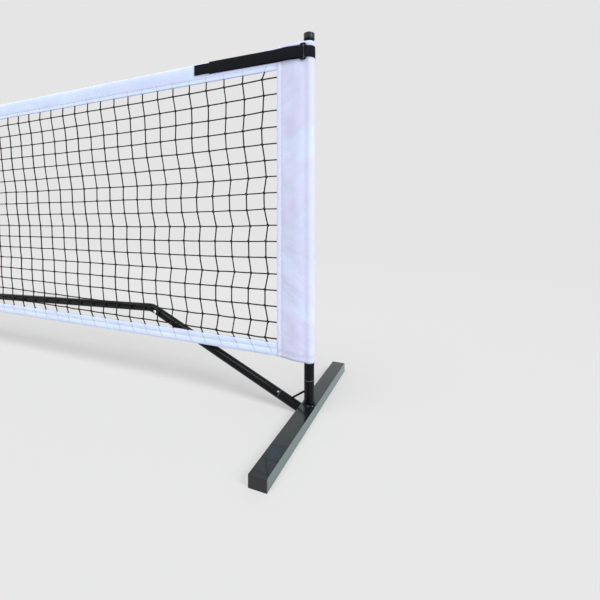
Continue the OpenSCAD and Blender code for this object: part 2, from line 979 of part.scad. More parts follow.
on_side(-1) strap_tail();  // strap_tail_left
on_side(1) strap_ring();  // strap_ring_right
on_side(-1) strap_ring();  // strap_ring_left
centre_strap();
centre_strap_tail();
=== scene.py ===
import math
from bisect import bisect

import bmesh
import bpy
from bpy.props import FloatProperty, FloatVectorProperty, IntProperty, PointerProperty
from mathutils import Matrix, Vector, noise


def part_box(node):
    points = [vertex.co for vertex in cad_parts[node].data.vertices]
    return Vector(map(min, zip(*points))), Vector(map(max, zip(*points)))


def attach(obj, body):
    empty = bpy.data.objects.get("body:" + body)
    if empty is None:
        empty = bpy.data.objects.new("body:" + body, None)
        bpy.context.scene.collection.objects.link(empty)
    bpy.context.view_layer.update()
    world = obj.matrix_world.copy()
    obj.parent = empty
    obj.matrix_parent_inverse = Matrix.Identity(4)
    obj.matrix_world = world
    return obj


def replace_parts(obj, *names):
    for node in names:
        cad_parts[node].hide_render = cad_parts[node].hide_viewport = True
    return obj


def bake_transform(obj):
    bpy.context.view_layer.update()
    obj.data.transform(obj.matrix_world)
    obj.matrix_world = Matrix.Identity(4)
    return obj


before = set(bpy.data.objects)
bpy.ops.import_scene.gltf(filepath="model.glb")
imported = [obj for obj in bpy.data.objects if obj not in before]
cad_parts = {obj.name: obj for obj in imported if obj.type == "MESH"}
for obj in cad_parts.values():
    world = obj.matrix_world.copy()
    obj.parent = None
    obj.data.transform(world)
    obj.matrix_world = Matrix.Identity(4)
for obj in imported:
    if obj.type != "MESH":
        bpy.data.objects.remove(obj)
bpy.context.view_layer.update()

bl_info = {
    "name": "Portable court net",
    "version": (1, 0, 0),
    "blender": (4, 5, 0),
    "location": "View3D > Sidebar > Court net",
    "description": "Dresses a take-apart court net: cloth, twine, straps and coated tubes",
    "category": "Object",
}

# Places taken from the loaded frame, in metres
MESH_LOW, MESH_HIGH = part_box("net_mesh")
PANEL_LOW, PANEL_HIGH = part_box("side_panel_right")
POST_LOW, POST_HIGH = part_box("post_right")
BASE_LOW, BASE_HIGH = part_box("strap_base_right")
TAIL_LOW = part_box("strap_tail_right")[0]
RING_LOW, RING_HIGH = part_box("strap_ring_right")

POST_X = (POST_LOW.x + POST_HIGH.x) / 2
PANEL_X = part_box("top_tape")[1].x
NET_Y = (MESH_LOW.y + MESH_HIGH.y) / 2
SLEEVE_R = PANEL_HIGH.x - POST_X
LOOP_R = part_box("strap_loop_right")[1].x - POST_X
STRAP_Z = (BASE_LOW.z + BASE_HIGH.z) / 2
BASE_Y = (BASE_LOW.y + BASE_HIGH.y) / 2
FOOT_LOW, FOOT_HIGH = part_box("centre_foot")
FOOT_HALF = (FOOT_HIGH.x - FOOT_LOW.x) / 2
# The brace's line: its tilt, its height at the foot's side and its joint's distance
BRACE_TILT = math.radians(23.033)
BRACE_FOOT_Z = 0.008
BRACE_JOINT = 0.065
SIDES = (("right", 1), ("left", -1))


# ---- Sizes and colours that a user may change ----


def measure(name, default, description):
    """A size in metres."""
    return FloatProperty(name=name, default=default, unit="LENGTH", description=description)


def pigment(name, default, description):
    """A colour without its alpha."""
    return FloatVectorProperty(name=name, default=default, description=description,
                               subtype="COLOR", size=3, min=0, max=1)


def amount(name, default, description):
    """A plain number."""
    return FloatProperty(name=name, default=default, description=description)


class NetSizes(bpy.types.PropertyGroup):
    """Sizes of the net and its white cloth."""

    top_post: measure("Top at the panels", 0.9075,
                      "Height of the net's top edge where it meets the side panels")
    top_centre: measure("Top at the centre", 0.864, "Height of the net's top edge at the centre")
    bottom_post: measure("Bottom at the panels", 0.137,
                         "Height of the net's bottom edge where it meets the side panels")
    bottom_centre: measure("Bottom at the centre", 0.114,
                           "Height of the net's bottom edge at the centre")
    top_width: measure("Top tape", 0.054, "Width of the folded top tape")
    bottom_width: measure("Bottom tape", 0.032, "Width of the folded bottom tape")
    thread: measure("Twine", 0.0035, "Diameter of the net's twine")
    knot: measure("Knot", 0.0076, "Width of one knot")
    rows: IntProperty(name="Rows", default=17, min=9, max=20,
                      description="Number of threads along the net")
    first_row: measure("First row", 0.0149,
                       "Drop from the top tape's lower edge to the first thread, at the panels")
    last_row: measure("Last row", 0.008,
                      "Rise from the bottom tape's upper edge to the last thread, at the panels")
    first_column: measure("First column", 0.0437,
                          "Distance from a panel's edge to the first upright thread")
    pitch_post: measure("Column pitch at the panels", 0.0556,
                        "Distance between upright threads beside the panels")
    pitch_centre: measure("Column pitch at the centre", 0.0606,
                          "Distance between upright threads at the centre")
    drift: measure("Drift", 0.0064,
                   "How far each lower row of knots may stand nearer to the panel")
    sag: measure("Sag", 0.011, "How far the upper rows hang below their places")
    slack: measure("Slack", 0.0009, "How far knots stray from their places")
    cloth: measure("Cloth", 0.0007, "Thickness of one ply of the white cloth")
    strap: measure("Strap", 0.0012, "Thickness of the black webbing")
    top_seam: measure("Top seam", 0.0105, "Height of the top tape's seam above its lower edge")
    bottom_seam: measure("Bottom seam", 0.0135,
                         "Drop of the bottom tape's seam below its upper edge")
    foot_hem: measure("Lower hem", 0.013, "Width of the hem along a panel's lower edge")


class Colours(bpy.types.PropertyGroup):
    """Colours of the finishes."""

    cloth: pigment("White cloth", (0.595, 0.628, 0.835), "The net's white side panels")
    tape: pigment("White tape", (0.640, 0.735, 1.0), "The net's white top and bottom tapes")
    twine: pigment("Twine", (0.005, 0.005, 0.006), "The net's black twine")
    coat: pigment("Powder coat", (0.0030, 0.0036, 0.0042), "The black coat on the steel tubes")
    # The green in this colour is painted reflection of greenish surroundings; the feet's coat
    # itself is black
    foot: pigment("Foot coat", (0.006, 0.0092, 0.0092), "The greenish black coat on the feet")
    plastic: pigment("Moulded plastic", (0.006, 0.006, 0.0075), "The caps and the strap rings")
    steel: pigment("Spring steel", (0.62, 0.63, 0.65), "The snap buttons")
    webbing: pigment("Webbing", (0.0026, 0.0036, 0.0062), "The black straps")


class StageSizes(bpy.types.PropertyGroup):
    """Camera, lamps and backdrop."""

    eye: FloatVectorProperty(name="Eye", size=3, unit="LENGTH", description="Place of the camera",
                             default=(3.66434, -0.82789, 0.49832))
    heading: FloatProperty(name="Heading", subtype="ANGLE", default=math.radians(22.073),
                           description="Turn of the camera to the left of straight across")
    lens: amount("Lens", 21.54, "Focal length in millimetres")
    rise: amount("Rise", -0.1473, "Upward shift of the camera's picture")
    backdrop: pigment("Backdrop", (0.783, 0.783, 0.783), "Colour of the floor and backdrop")
    room_light: amount("Room light", 0.52, "Strength of the light from all round")
    key_light: amount("Key light", 1.6, "Strength of the lamp on the right")
    side_light: amount("Side light", 0.9, "Strength of the low lamp on the right")
    top_light: amount("Top light", 1.5, "Strength of the lamp overhead")


SIZES = "court_net_sizes"
COLOURS = "court_net_colours"
STAGE = "court_net_stage"


def sizes():
    return getattr(bpy.context.scene, SIZES)


def colours():
    return getattr(bpy.context.scene, COLOURS)


def stage_sizes():
    return getattr(bpy.context.scene, STAGE)


# ---- Node materials ----


ONE_BAND = math.tau / 20  # scale of a wave texture with one band to the metre


class Paint:
    """A material under construction: its node tree and its surface shader."""

    def __init__(self, name, colour, roughness, metallic=0.0, specular=0.5):
        self.material = bpy.data.materials.new(name)
        self.material.use_nodes = True
        self.tree = self.material.node_tree
        self.shader = self.tree.nodes["Principled BSDF"]
        self.hold({"Base Color": (*colour, 1), "Roughness": roughness,
                   "Metallic": metallic, "Specular IOR Level": specular})
        self.places = self.tree.nodes.new("ShaderNodeTexCoord")

    def hold(self, values):
        """Sets plain values on the shader's own sockets."""
        for name, value in values.items():
            self.shader.inputs[name].default_value = value

    def node(self, kind, **values):
        """A new node, with its properties and the values of its sockets."""
        made = self.tree.nodes.new(kind)
        for key, value in values.items():
            if key in made.inputs:
                made.inputs[key].default_value = value
            else:
                setattr(made, key, value)
        return made

    def link(self, out, into):
        self.tree.links.new(out, into)

    def mapped(self, scale, source="Object", turn=0.0):
        """Object or UV places, turned about Y and then scaled."""
        turned = self.places.outputs[source]
        if turn:
            made = self.node("ShaderNodeMapping")
            made.inputs["Rotation"].default_value = (0, math.radians(turn), 0)
            self.link(turned, made.inputs["Vector"])
            turned = made.outputs["Vector"]
        made = self.node("ShaderNodeMapping")
        made.inputs["Scale"].default_value = scale
        self.link(turned, made.inputs["Vector"])
        return made.outputs["Vector"]

    def noise(self, scale, detail=3.0, rough=0.55, vector=None):
        """A noise value from 0 to 1."""
        made = self.node("ShaderNodeTexNoise", Scale=scale, Detail=detail, Roughness=rough)
        if vector is None:
            vector = self.places.outputs["Object"]
        self.link(vector, made.inputs["Vector"])
        return made.outputs["Fac"]

    def wave(self, per_metre, axis, vector):
        """Straight bands across an axis, so many to the metre."""
        made = self.node("ShaderNodeTexWave", wave_type="BANDS", bands_direction=axis,
                         wave_profile="SIN", Scale=per_metre * ONE_BAND)
        self.link(vector, made.inputs["Vector"])
        return made.outputs["Fac"]

    def axes(self, source):
        """The X, Y and Z of object or UV places."""
        split = self.node("ShaderNodeSeparateXYZ")
        self.link(self.places.outputs[source], split.inputs["Vector"])
        return [split.outputs[axis] for axis in "XYZ"]

    def math(self, operation, a, b=None):
        """A sum of one or two values or sockets."""
        made = self.node("ShaderNodeMath", operation=operation)
        for i, value in enumerate((a, b)):
            if value is None:
                continue
            if isinstance(value, (int, float)):
                made.inputs[i].default_value = value
            else:
                self.link(value, made.inputs[i])
        return made.outputs[0]

    def times(self, a, b):
        return self.math("MULTIPLY", a, b)

    def plus(self, a, b):
        return self.math("ADD", a, b)

    def minus(self, a, b):
        return self.math("SUBTRACT", a, b)

    def line(self, value, at, half):
        """1 on a line where a value is near a number, 0 off it."""
        away = self.math("ABSOLUTE", self.minus(value, at))
        return self.span(away, half * 0.5, half, 1.0, 0.0)

    def span(self, value, low, high, to_low=0.0, to_high=1.0):
        """A value moved from one span to another, held within it."""
        made = self.node("ShaderNodeMapRange", clamp=True)
        self.link(value, made.inputs["Value"])
        for name, number in (("From Min", low), ("From Max", high),
                             ("To Min", to_low), ("To Max", to_high)):
            made.inputs[name].default_value = number
        return made.outputs["Result"]

    def mix(self, share, a, b):
        """A blend of two colours or colour sockets."""
        made = self.node("ShaderNodeMix", data_type="RGBA")
        if isinstance(share, (int, float)):
            made.inputs["Factor"].default_value = share
        else:
            self.link(share, made.inputs["Factor"])
        for name, value in (("A", a), ("B", b)):
            socket = [s for s in made.inputs if s.name == name and s.type == "RGBA"][0]
            if isinstance(value, tuple):
                socket.default_value = (*value[:3], 1)
            else:
                self.link(value, socket)
        return [s for s in made.outputs if s.type == "RGBA"][0]

    def bump(self, height, depth, below=None, strength=1.0):
        """A surface relief, in metres, over another one."""
        made = self.node("ShaderNodeBump")
        made.inputs["Distance"].default_value = depth
        made.inputs["Strength"].default_value = strength
        self.link(height, made.inputs["Height"])
        if below is not None:
            self.link(below, made.inputs["Normal"])
        return made.outputs["Normal"]

    def finish(self, tone, rough, normal):
        """The finished material, with its colour, roughness and relief linked."""
        for name, socket in (("Base Color", tone), ("Roughness", rough), ("Normal", normal)):
            self.link(socket, self.shader.inputs[name])
        return self.material


def shade(colour, times):
    return tuple(min(1.0, c * times) for c in colour)


# Width of the painted highlight line at a tube's joint, and a foot's rounded corner, along which
# a painted shade line runs
JOINT_LINE = 0.0012
FOOT_CORNER = 0.0014


def coat_paint(name, colour, specular, coat, joints=(), tint=(0.88, 1.0, 1.0), side_reflection=0.0):
    """Glossy powder coat: fine orange peel, dust and soft gloss changes. Each joint
    (a, b, c) has a painted highlight along its edge and a dark gap where a times the
    distance from the middle plus b times the height is c. The last argument lightens
    the feet's side faces, a painted reflection, and a painted shade line runs along
    their rounded corners."""
    colour = tuple(colour)
    p = Paint(name, colour, 0.2, specular=specular)
    # The specular tint, greenish by default, tints the reflections green: painted reflection of
    # greenish surroundings
    p.hold({"Coat Weight": coat, "Coat Roughness": 0.06, "Specular Tint": (*tint, 1)})
    cloudy = p.noise(9.0, 4.0)
    fine = p.noise(900.0, 2.0)
    dust = p.span(p.noise(260.0, 5.0, 0.7), 0.62, 0.8)
    tone = p.mix(p.times(dust, 0.3), colour, shade(colour, 4.5))
    rough = p.plus(p.span(cloudy, 0.3, 0.7, 0.16, 0.27), p.times(dust, 0.2))
    x, _, z = p.axes("Object")
    out = p.math("ABSOLUTE", x)
    for a, b, c in joints:
        along = p.plus(p.times(out, a), p.times(z, b))
        # edge is a painted highlight line along the joint's rim, beside the joint's dark gap
        edge = p.line(along, c + JOINT_LINE, 0.0014)
        gap = p.line(along, c - JOINT_LINE / 2, JOINT_LINE)
        tone = p.mix(p.times(edge, 0.6), tone, (0.11, 0.12, 0.13))
        tone = p.mix(p.times(gap, 0.9), tone, (0.0008, 0.0008, 0.0008))
        rough = p.plus(rough, p.times(edge, 0.15))
    # Painted reflection: the feet's side faces are lightened by the given factor. Painted shade:
    # a dark line along their rounded corners.
    if side_reflection:
        beside = p.math("MINIMUM", out, p.math("ABSOLUTE", p.minus(out, POST_X)))
        corner = p.line(beside, FOOT_HALF - FOOT_CORNER, 0.0012)
        tone = p.mix(p.span(beside, FOOT_HALF - 0.0003, FOOT_HALF - 0.0001), tone,
                     shade(colour, side_reflection))
        tone = p.mix(p.times(corner, 0.8), tone, shade(colour, 0.2))
    peel = p.bump(fine, 0.00006)
    return p.finish(tone, rough, p.bump(cloudy, 0.0004, peel, 0.3))


def plastic_paint(name, times, coat):
    """Moulded black plastic with a fine grain."""
    colour = shade(tuple(colours().plastic), times)
    p = Paint(name, colour, 0.3, specular=0.16)
    p.hold({"Coat Weight": coat, "Coat Roughness": 0.06})
    grain = p.noise(1400.0, 2.0)
    cloudy = p.noise(30.0, 3.0)
    return p.finish(p.mix(cloudy, shade(colour, 0.8), shade(colour, 1.5)),
                    p.span(cloudy, 0.3, 0.7, 0.24, 0.36), p.bump(grain, 0.00003))


def steel_paint(name, times, middle=None):
    """Bright plated spring steel with a fine grain. A button has a pressed hollow about
    its middle, which faces across the net, painted as a dark spot: painted shade."""
    colour = shade(tuple(colours().steel), times)
    p = Paint(name, colour, 0.2, metallic=1.0 if middle is None else 0.45)
    scratch = p.noise(1.0, 4.0, 0.6, p.mapped((500, 500, 2500)))
    stain = p.noise(120.0, 4.0)
    tone = p.mix(p.span(stain, 0.55, 0.75), colour, shade(colour, 0.6))
    if middle is not None:
        spot = p.node("ShaderNodeVectorMath", operation="DISTANCE")
        p.link(p.mapped((1, 0, 1)), spot.inputs[0])
        spot.inputs[1].default_value = (middle.x, 0, middle.z)
        away = spot.outputs["Value"]
        # A dark spot about the button's middle: painted shade of its pressed hollow
        hollow_shade = p.span(away, 0.0021, 0.0026, 1.0, 0.0)
        tone = p.mix(p.times(hollow_shade, 0.92), tone, (0.01, 0.01, 0.012))
    return p.finish(tone, p.span(scratch, 0.3, 0.7, 0.14, 0.3), p.bump(scratch, 0.00002))


def twine_paint():
    """Black twisted twine: a lay of strands, with a few pale fibres."""
    colour = tuple(colours().twine)
    p = Paint("twisted_twine", colour, 0.55, specular=0.18)
    lay = p.wave(420.0, "DIAGONAL", p.mapped((1, 1.6, 1)))
    fuzz = p.noise(2200.0, 2.0)
    return p.finish(p.mix(p.times(lay, fuzz), colour, shade(colour, 3.2)),
                    p.span(fuzz, 0.3, 0.7, 0.45, 0.68),
                    p.bump(lay, 0.0004, p.bump(fuzz, 0.0001)))


def webbing_paint(name, hooks):
    """Black webbing with its ribs and selvages; the loop side has a soft pile."""
    colour = tuple(colours().webbing)
    p = Paint(name, colour, 0.75, specular=0.12)
    p.hold({"Sheen Weight": 0.1 if hooks else 0.04, "Sheen Roughness": 0.4})
    cloth = p.mapped((1, 1, 1), "UV")
    ribs = p.wave(640.0, "Y", cloth)
    picks = p.wave(520.0, "X", cloth)
    pile = p.noise(1600.0, 3.0)
    weave = p.plus(p.times(ribs, 0.6), p.times(picks, 0.4))
    relief = p.plus(p.times(weave, 0.35 if hooks else 1.0), pile)
    worn = p.noise(45.0, 4.0)
    return p.finish(p.mix(p.times(pile, worn), shade(colour, 0.7), shade(colour, 2.6)),
                    p.span(pile, 0.3, 0.7, 0.62, 0.9), p.bump(relief, 0.00025))


# What each point of a tape holds: the running number of the thread under it, and
# how much of that shows
THREAD_LAYERS = ("thread", "shown")
# A row of stitches: half its thread, half the groove that it sinks into, its stitch
STITCH_HALF, GROOVE_HALF, STITCH_PITCH = 0.0011, 0.0028, 0.0032
# The height about which the panels' long creases change their slope
CREASES_TURN = (0.40, 0.52)


def cloth_paint(name, colour, across=(), along=(), threads=0.0, creased=0.3, hem=None):
    """White coated cloth: a fine weave, soft stains, painted shade and light along its
    creases, rows of stitches at the given places across and along it with painted
    shade in their grooves, brighter hems outside the span hem, and twine that shows
    through as faint lines of painted shadow."""
    colour = tuple(colour)
    p = Paint(name, colour, 0.62, specular=0.3)
    p.hold({"Sheen Weight": 0.15})
    u, v, _ = p.axes("UV")
    cloth = p.mapped((1, 1, 1), "UV")
    weave = p.math("MAXIMUM", p.wave(1500.0, "X", cloth), p.wave(1500.0, "Y", cloth))
    cloudy = p.noise(7.0, 5.0, 0.6)
    rising, falling = (p.noise(1.0, 3.0, 0.5, p.mapped((9, 20, 27), "Object", turn))
                       for turn in (38.0, -32.0))
    upper = p.span(p.axes("Object")[2], *CREASES_TURN)
    folds = p.plus(p.times(rising, upper), p.times(falling, p.minus(1.0, upper)))
    tone = p.mix(p.span(cloudy, 0.3, 0.75), shade(colour, 0.93), shade(colour, 1.04))
    # Painted shade and light of the long creases: a pinker, darker tone on one side of them and a
    # cooler, lighter one on the other
    crease_shade = tuple(c * f for c, f in zip(colour, (1.0, 0.92, 0.97)))
    crease_light = tuple(min(1.0, c * f) for c, f in zip(colour, (0.97, 1.07, 1.06)))
    tone = p.mix(p.span(folds, 0.50, 0.64, 0.0, creased), tone, crease_shade)
    tone = p.mix(p.span(folds, 0.36, 0.48, creased, 0.0), tone, crease_light)
    if hem:
        inside = p.times(p.span(u, hem[0], hem[0] + 0.001),
                         p.span(u, hem[1] - 0.001, hem[1], 1.0, 0.0))
        tone = p.mix(p.minus(1.0, inside), tone, shade(colour, 1.13))
    relief = p.times(weave, 0.12)
    for value, run, places in ((v, "X", across), (u, "Y", along)):
        for place in places:
            stitch = p.wave(1 / STITCH_PITCH, run, cloth)
            thread = p.times(p.line(value, place, STITCH_HALF), p.span(stitch, 0.25, 0.6))
            # The groove that the stitches sink into is painted darker: painted shade
            shaded_groove = p.line(value, place, GROOVE_HALF)
            tone = p.mix(p.times(shaded_groove, 0.34), tone, shade(colour, 0.55))
            tone = p.mix(p.times(thread, 0.85), tone, shade(colour, 1.3))
            relief = p.plus(p.minus(relief, p.times(shaded_groove, 0.55)), p.times(thread, 0.75))
    if threads:
        number, shown = (p.node("ShaderNodeAttribute", attribute_name=key).outputs["Fac"]
                         for key in THREAD_LAYERS)
        # Darker lines where twine lies in the tape: painted shadow of the twine inside, seen
        # through the cloth
        away = p.math("ABSOLUTE", p.minus(number, p.math("ROUND", number)))
        under = p.times(p.span(away, 0.012, 0.05, 1.0, 0.0), shown)
        tone = p.mix(p.times(under, threads), tone, shade(colour, 0.42))
        relief = p.plus(relief, p.times(under, 0.8))
    creases = p.bump(folds, 0.006, None, 0.2 + 0.4 * creased)
    return p.finish(tone, p.span(cloudy, 0.3, 0.7, 0.55, 0.7),
                    p.bump(relief, 0.00045, creases))


# ---- Building pieces ----


def mesh_of(name, bm):
    """A mesh from a bmesh, which is freed."""
    mesh = bpy.data.meshes.new(name)
    bm.to_mesh(mesh)
    bm.free()
    return mesh


def placed(name, data):
    """A new object in the scene."""
    made = bpy.data.objects.new(name, data)
    bpy.context.scene.collection.objects.link(made)
    return made


def piece(name, bm, paint, body="frame"):
    """A finished piece from a bmesh, riding on a body, or on none when body is None."""
    mesh = mesh_of(name, bm)
    made = placed(name, mesh)
    mesh.materials.append(paint)
    mesh.polygons.foreach_set("use_smooth", [True] * len(mesh.polygons))
    if body is not None:
        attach(made, body)
    return made


def thicken(made, thickness, offset=-1.0):
    """Gives a sheet its thickness, inwards from its outer face."""
    solid = made.modifiers.new("Ply", "SOLIDIFY")
    solid.thickness = thickness
    solid.offset = offset
    solid.use_even_offset = False


def ramp(value, low, high):
    """0 below low, 1 above high, smooth in between."""
    t = min(1.0, max(0.0, (value - low) / (high - low)))
    return t * t * (3 - 2 * t)


def near(value, middle, reach):
    """1 at a middle value, falling off smoothly within a few reaches of it."""
    return math.exp(-((value - middle) / reach) ** 2)


def wobble(x, z, pace, seed):
    """A smooth value about 0 that depends on a place and a seed."""
    return noise.noise(Vector((x * pace, z * pace, seed)))


def cloth_grid(across, along, place, marks=None):
    """A grid of cloth: place(u, v) puts each point, and the UV map holds the
    flat cloth's own measures. marks(u, v) may give the running number of the
    thread under each point and how much of it shows."""
    bm = bmesh.new()
    bmesh.ops.create_grid(bm, x_segments=len(across) - 1, y_segments=len(along) - 1, size=1.0)
    uv = bm.loops.layers.uv.new("Cloth")
    layers = [bm.verts.layers.float.new(name) for name in THREAD_LAYERS] if marks else []
    steps_u, steps_v = len(across) - 1, len(along) - 1
    flat = {}
    for vert in bm.verts:
        i = round((vert.co.x + 1) / 2 * steps_u)
        j = round((vert.co.y + 1) / 2 * steps_v)
        flat[vert] = (across[i], along[j])
    for face in bm.faces:
        for loop in face.loops:
            loop[uv].uv = flat[loop.vert]
    for vert, (u, v) in flat.items():
        vert.co = place(u, v)
        for layer, value in zip(layers, marks(u, v) if marks else ()):
            vert[layer] = value
    return bm


def steps(low, high, step):
    """Evenly spaced numbers from low to high, about a step apart."""
    count = max(1, round((high - low) / step))
    return [low + (high - low) * i / count for i in range(count + 1)]


def walk(points):
    """The running length at each point of a path."""
    runs = [0.0]
    for a, b in zip(points, points[1:]):
        runs.append(runs[-1] + (Vector(b) - Vector(a)).length)
    return runs


def along_path(points, runs, at):
    """The place and the direction at a running length of a path."""
    at = min(max(at, 0.0), runs[-1])
    for i in range(len(points) - 1):
        if at <= runs[i + 1] or i == len(points) - 2:
            a, b = Vector(points[i]), Vector(points[i + 1])
            share = (at - runs[i]) / max(runs[i + 1] - runs[i], 1e-9)
            return a.lerp(b, share), (b - a).normalized()


# ---- The net's lines ----


def edge_at(x, centre, panel):
    """Height of an edge of the net that runs straight from the centre to a panel."""
    return centre + (panel - centre) * min(1.2, abs(x) / PANEL_X)


def top_at(x):
    return edge_at(x, sizes().top_centre, sizes().top_post)


def bottom_at(x):
    return edge_at(x, sizes().bottom_centre, sizes().bottom_post)


def column_places():
    """Distances of the upright threads from the centre, from a panel inwards."""
    s = sizes()
    start = PANEL_X - s.first_column
    count = round(start / ((s.pitch_post + s.pitch_centre) / 2))
    pitches = [s.pitch_post + (s.pitch_centre - s.pitch_post) * ramp(i, 0, 20)
               for i in range(count)]
    scale = (start - pitches[-1] / 2) / sum(pitches[:-1])
    places = [start]
    for pitch in pitches[:-1]:
        places.append(places[-1] - pitch * scale)
    return places


def open_height():
    """Height of the open mesh between the tapes, at the panels."""
    s = sizes()
    return s.top_post - s.top_width - s.bottom_post - s.bottom_width


def row_pitch():
    s = sizes()
    return (open_height() - s.first_row - s.last_row) / (s.rows - 1)


def row_share(row):
    """Height of a row of knots, as a share of the open mesh, from the top."""
    return (sizes().first_row + row_pitch() * row) / open_height()


# Rows to and fro near the top tape and below, the row between them, and the belly
LONG_TURN, SHORT_TURN, TURN_ROW = 5, 3, 6
BELLY_ROW, BELLY_REACH, BELLY = 10.5, 1.6, 0.0025
LEAN = 0.0045
# Shift of all knots towards the panel and the curve of the upright threads, each
# beside the panel and how much more far in; the columns over which both fade out
SHIFT, SHIFT_MORE = 0.007, 0.013
CURVE, CURVE_MORE = 0.005, 0.013
FADE = (24, 50)


def row_lean(row):
    """How far a row of knots leans towards the panel: to and fro, once in five
    rows near the top tape and once in three below, with a belly past the middle."""
    turns = (row - 1) / LONG_TURN if row < TURN_ROW else 1 + (row - TURN_ROW) / SHORT_TURN
    return LEAN * math.cos(turns * math.tau) + BELLY * near(row, BELLY_ROW, BELLY_REACH)


def grown(columns, reach):
    """From 0 at the panel to 1 far in, most of it within so many columns."""
    return 1 - math.exp(-columns / reach)


def knot_place(x, column, row, side):
    """The place of a knot: lower rows stand nearer to the panel, most of all
    some way along the net, and the rows lean and sag by turns."""
    s = sizes()
    high, low = top_at(x) - s.top_width, bottom_at(x) + s.bottom_width
    z = high + (low - high) * row_share(row)
    seed = 11.3 * side + 0.7
    fade = 1 - ramp(column, *FADE)
    share = (row + 0.5) / s.rows
    drift = s.drift * grown(column + 1.3, 9.5) * s.rows * (share - 0.5)
    shift = SHIFT + SHIFT_MORE * grown(column, 6)
    curve = (CURVE + CURVE_MORE * grown(column, 8)) * (math.sin(math.pi * share) - 0.6)
    zigzag = row_lean(row) * (1.2 - 0.7 * ramp(column, 0, 14))
    dx = (drift + curve + shift) * fade + zigzag
    dx += s.slack * 1.6 * wobble(column * 1.7, row * 2.3, 1.0, seed + 5)
    sag = s.sag * (0.28 + 0.72 * grown(column, 3.5)) * fade
    rise = (0.002 + 0.0006 * column) * fade
    lower = max(0.0, (row - 7) / (s.rows - 8)) ** 1.3
    dz = -sag + (sag + rise) * lower
    dz += s.slack * 1.4 * wobble(column * 1.3, row * 1.9, 1.0, seed + 9)
    dy = 0.0015 * wobble(column * 0.21, row * 0.33, 1.0, seed + 13)
    return Vector((x + dx * side, NET_Y + dy, z + dz))


# How far the threads reach into the tapes, and lean there towards the panel
INTO_TOP, INTO_BOTTOM = 0.020, 0.014
END_STRAY = 0.0045


def top_end(column, side, knot):
    """Where an upright thread ends inside the top tape."""
    lean = END_STRAY * wobble(column * 0.9, 3.0, 1.0, 21.0 + side)
    lean += (0.016, 0.003)[column] if column < 2 else 0.001
    return Vector((knot.x + lean * side, NET_Y, top_at(knot.x) - sizes().top_width + INTO_TOP))


def bottom_end(column, side, knot):
    """Where an upright thread ends inside the bottom tape."""
    lean = END_STRAY * wobble(column * 1.1, 7.0, 1.0, 33.0 + side) + 0.015
    return Vector((knot.x + lean * side, NET_Y,
                   bottom_at(knot.x) + sizes().bottom_width - INTO_BOTTOM))


def thread_lines(closed):
    """The end knots and the ends of all upright threads at one tape, sorted."""
    row, end = (0, top_end) if closed > 0 else (sizes().rows - 1, bottom_end)
    ends = []
    for side in (1, -1):
        for column, x in enumerate(column_places()):
            knot = knot_place(side * x, column, row, side)
            ends.append((knot, end(column, side, knot)))
    return sorted(ends, key=lambda pair: pair[1].x)


# ---- Twine ----


def swept(lines, radius, resolution, shares=None):
    """A bmesh of round bars along lines of points. shares vary the radius."""
    curve = bpy.data.curves.new("swept", "CURVE")
    curve.dimensions = "3D"
    curve.bevel_depth = radius
    curve.bevel_resolution = resolution
    curve.use_fill_caps = True
    for points in lines:
        spline = curve.splines.new("POLY")
        spline.points.add(len(points) - 1)
        for point, place, share in zip(spline.points, points, shares or [1.0] * len(points)):
            point.co = (*place, 1)
            point.radius = share
    made = placed("swept", curve)
    bpy.context.view_layer.update()
    evaluated = made.evaluated_get(bpy.context.evaluated_depsgraph_get())
    bm = bmesh.new()
    bm.from_mesh(evaluated.to_mesh())
    evaluated.to_mesh_clear()
    bpy.data.objects.remove(made)
    return bm


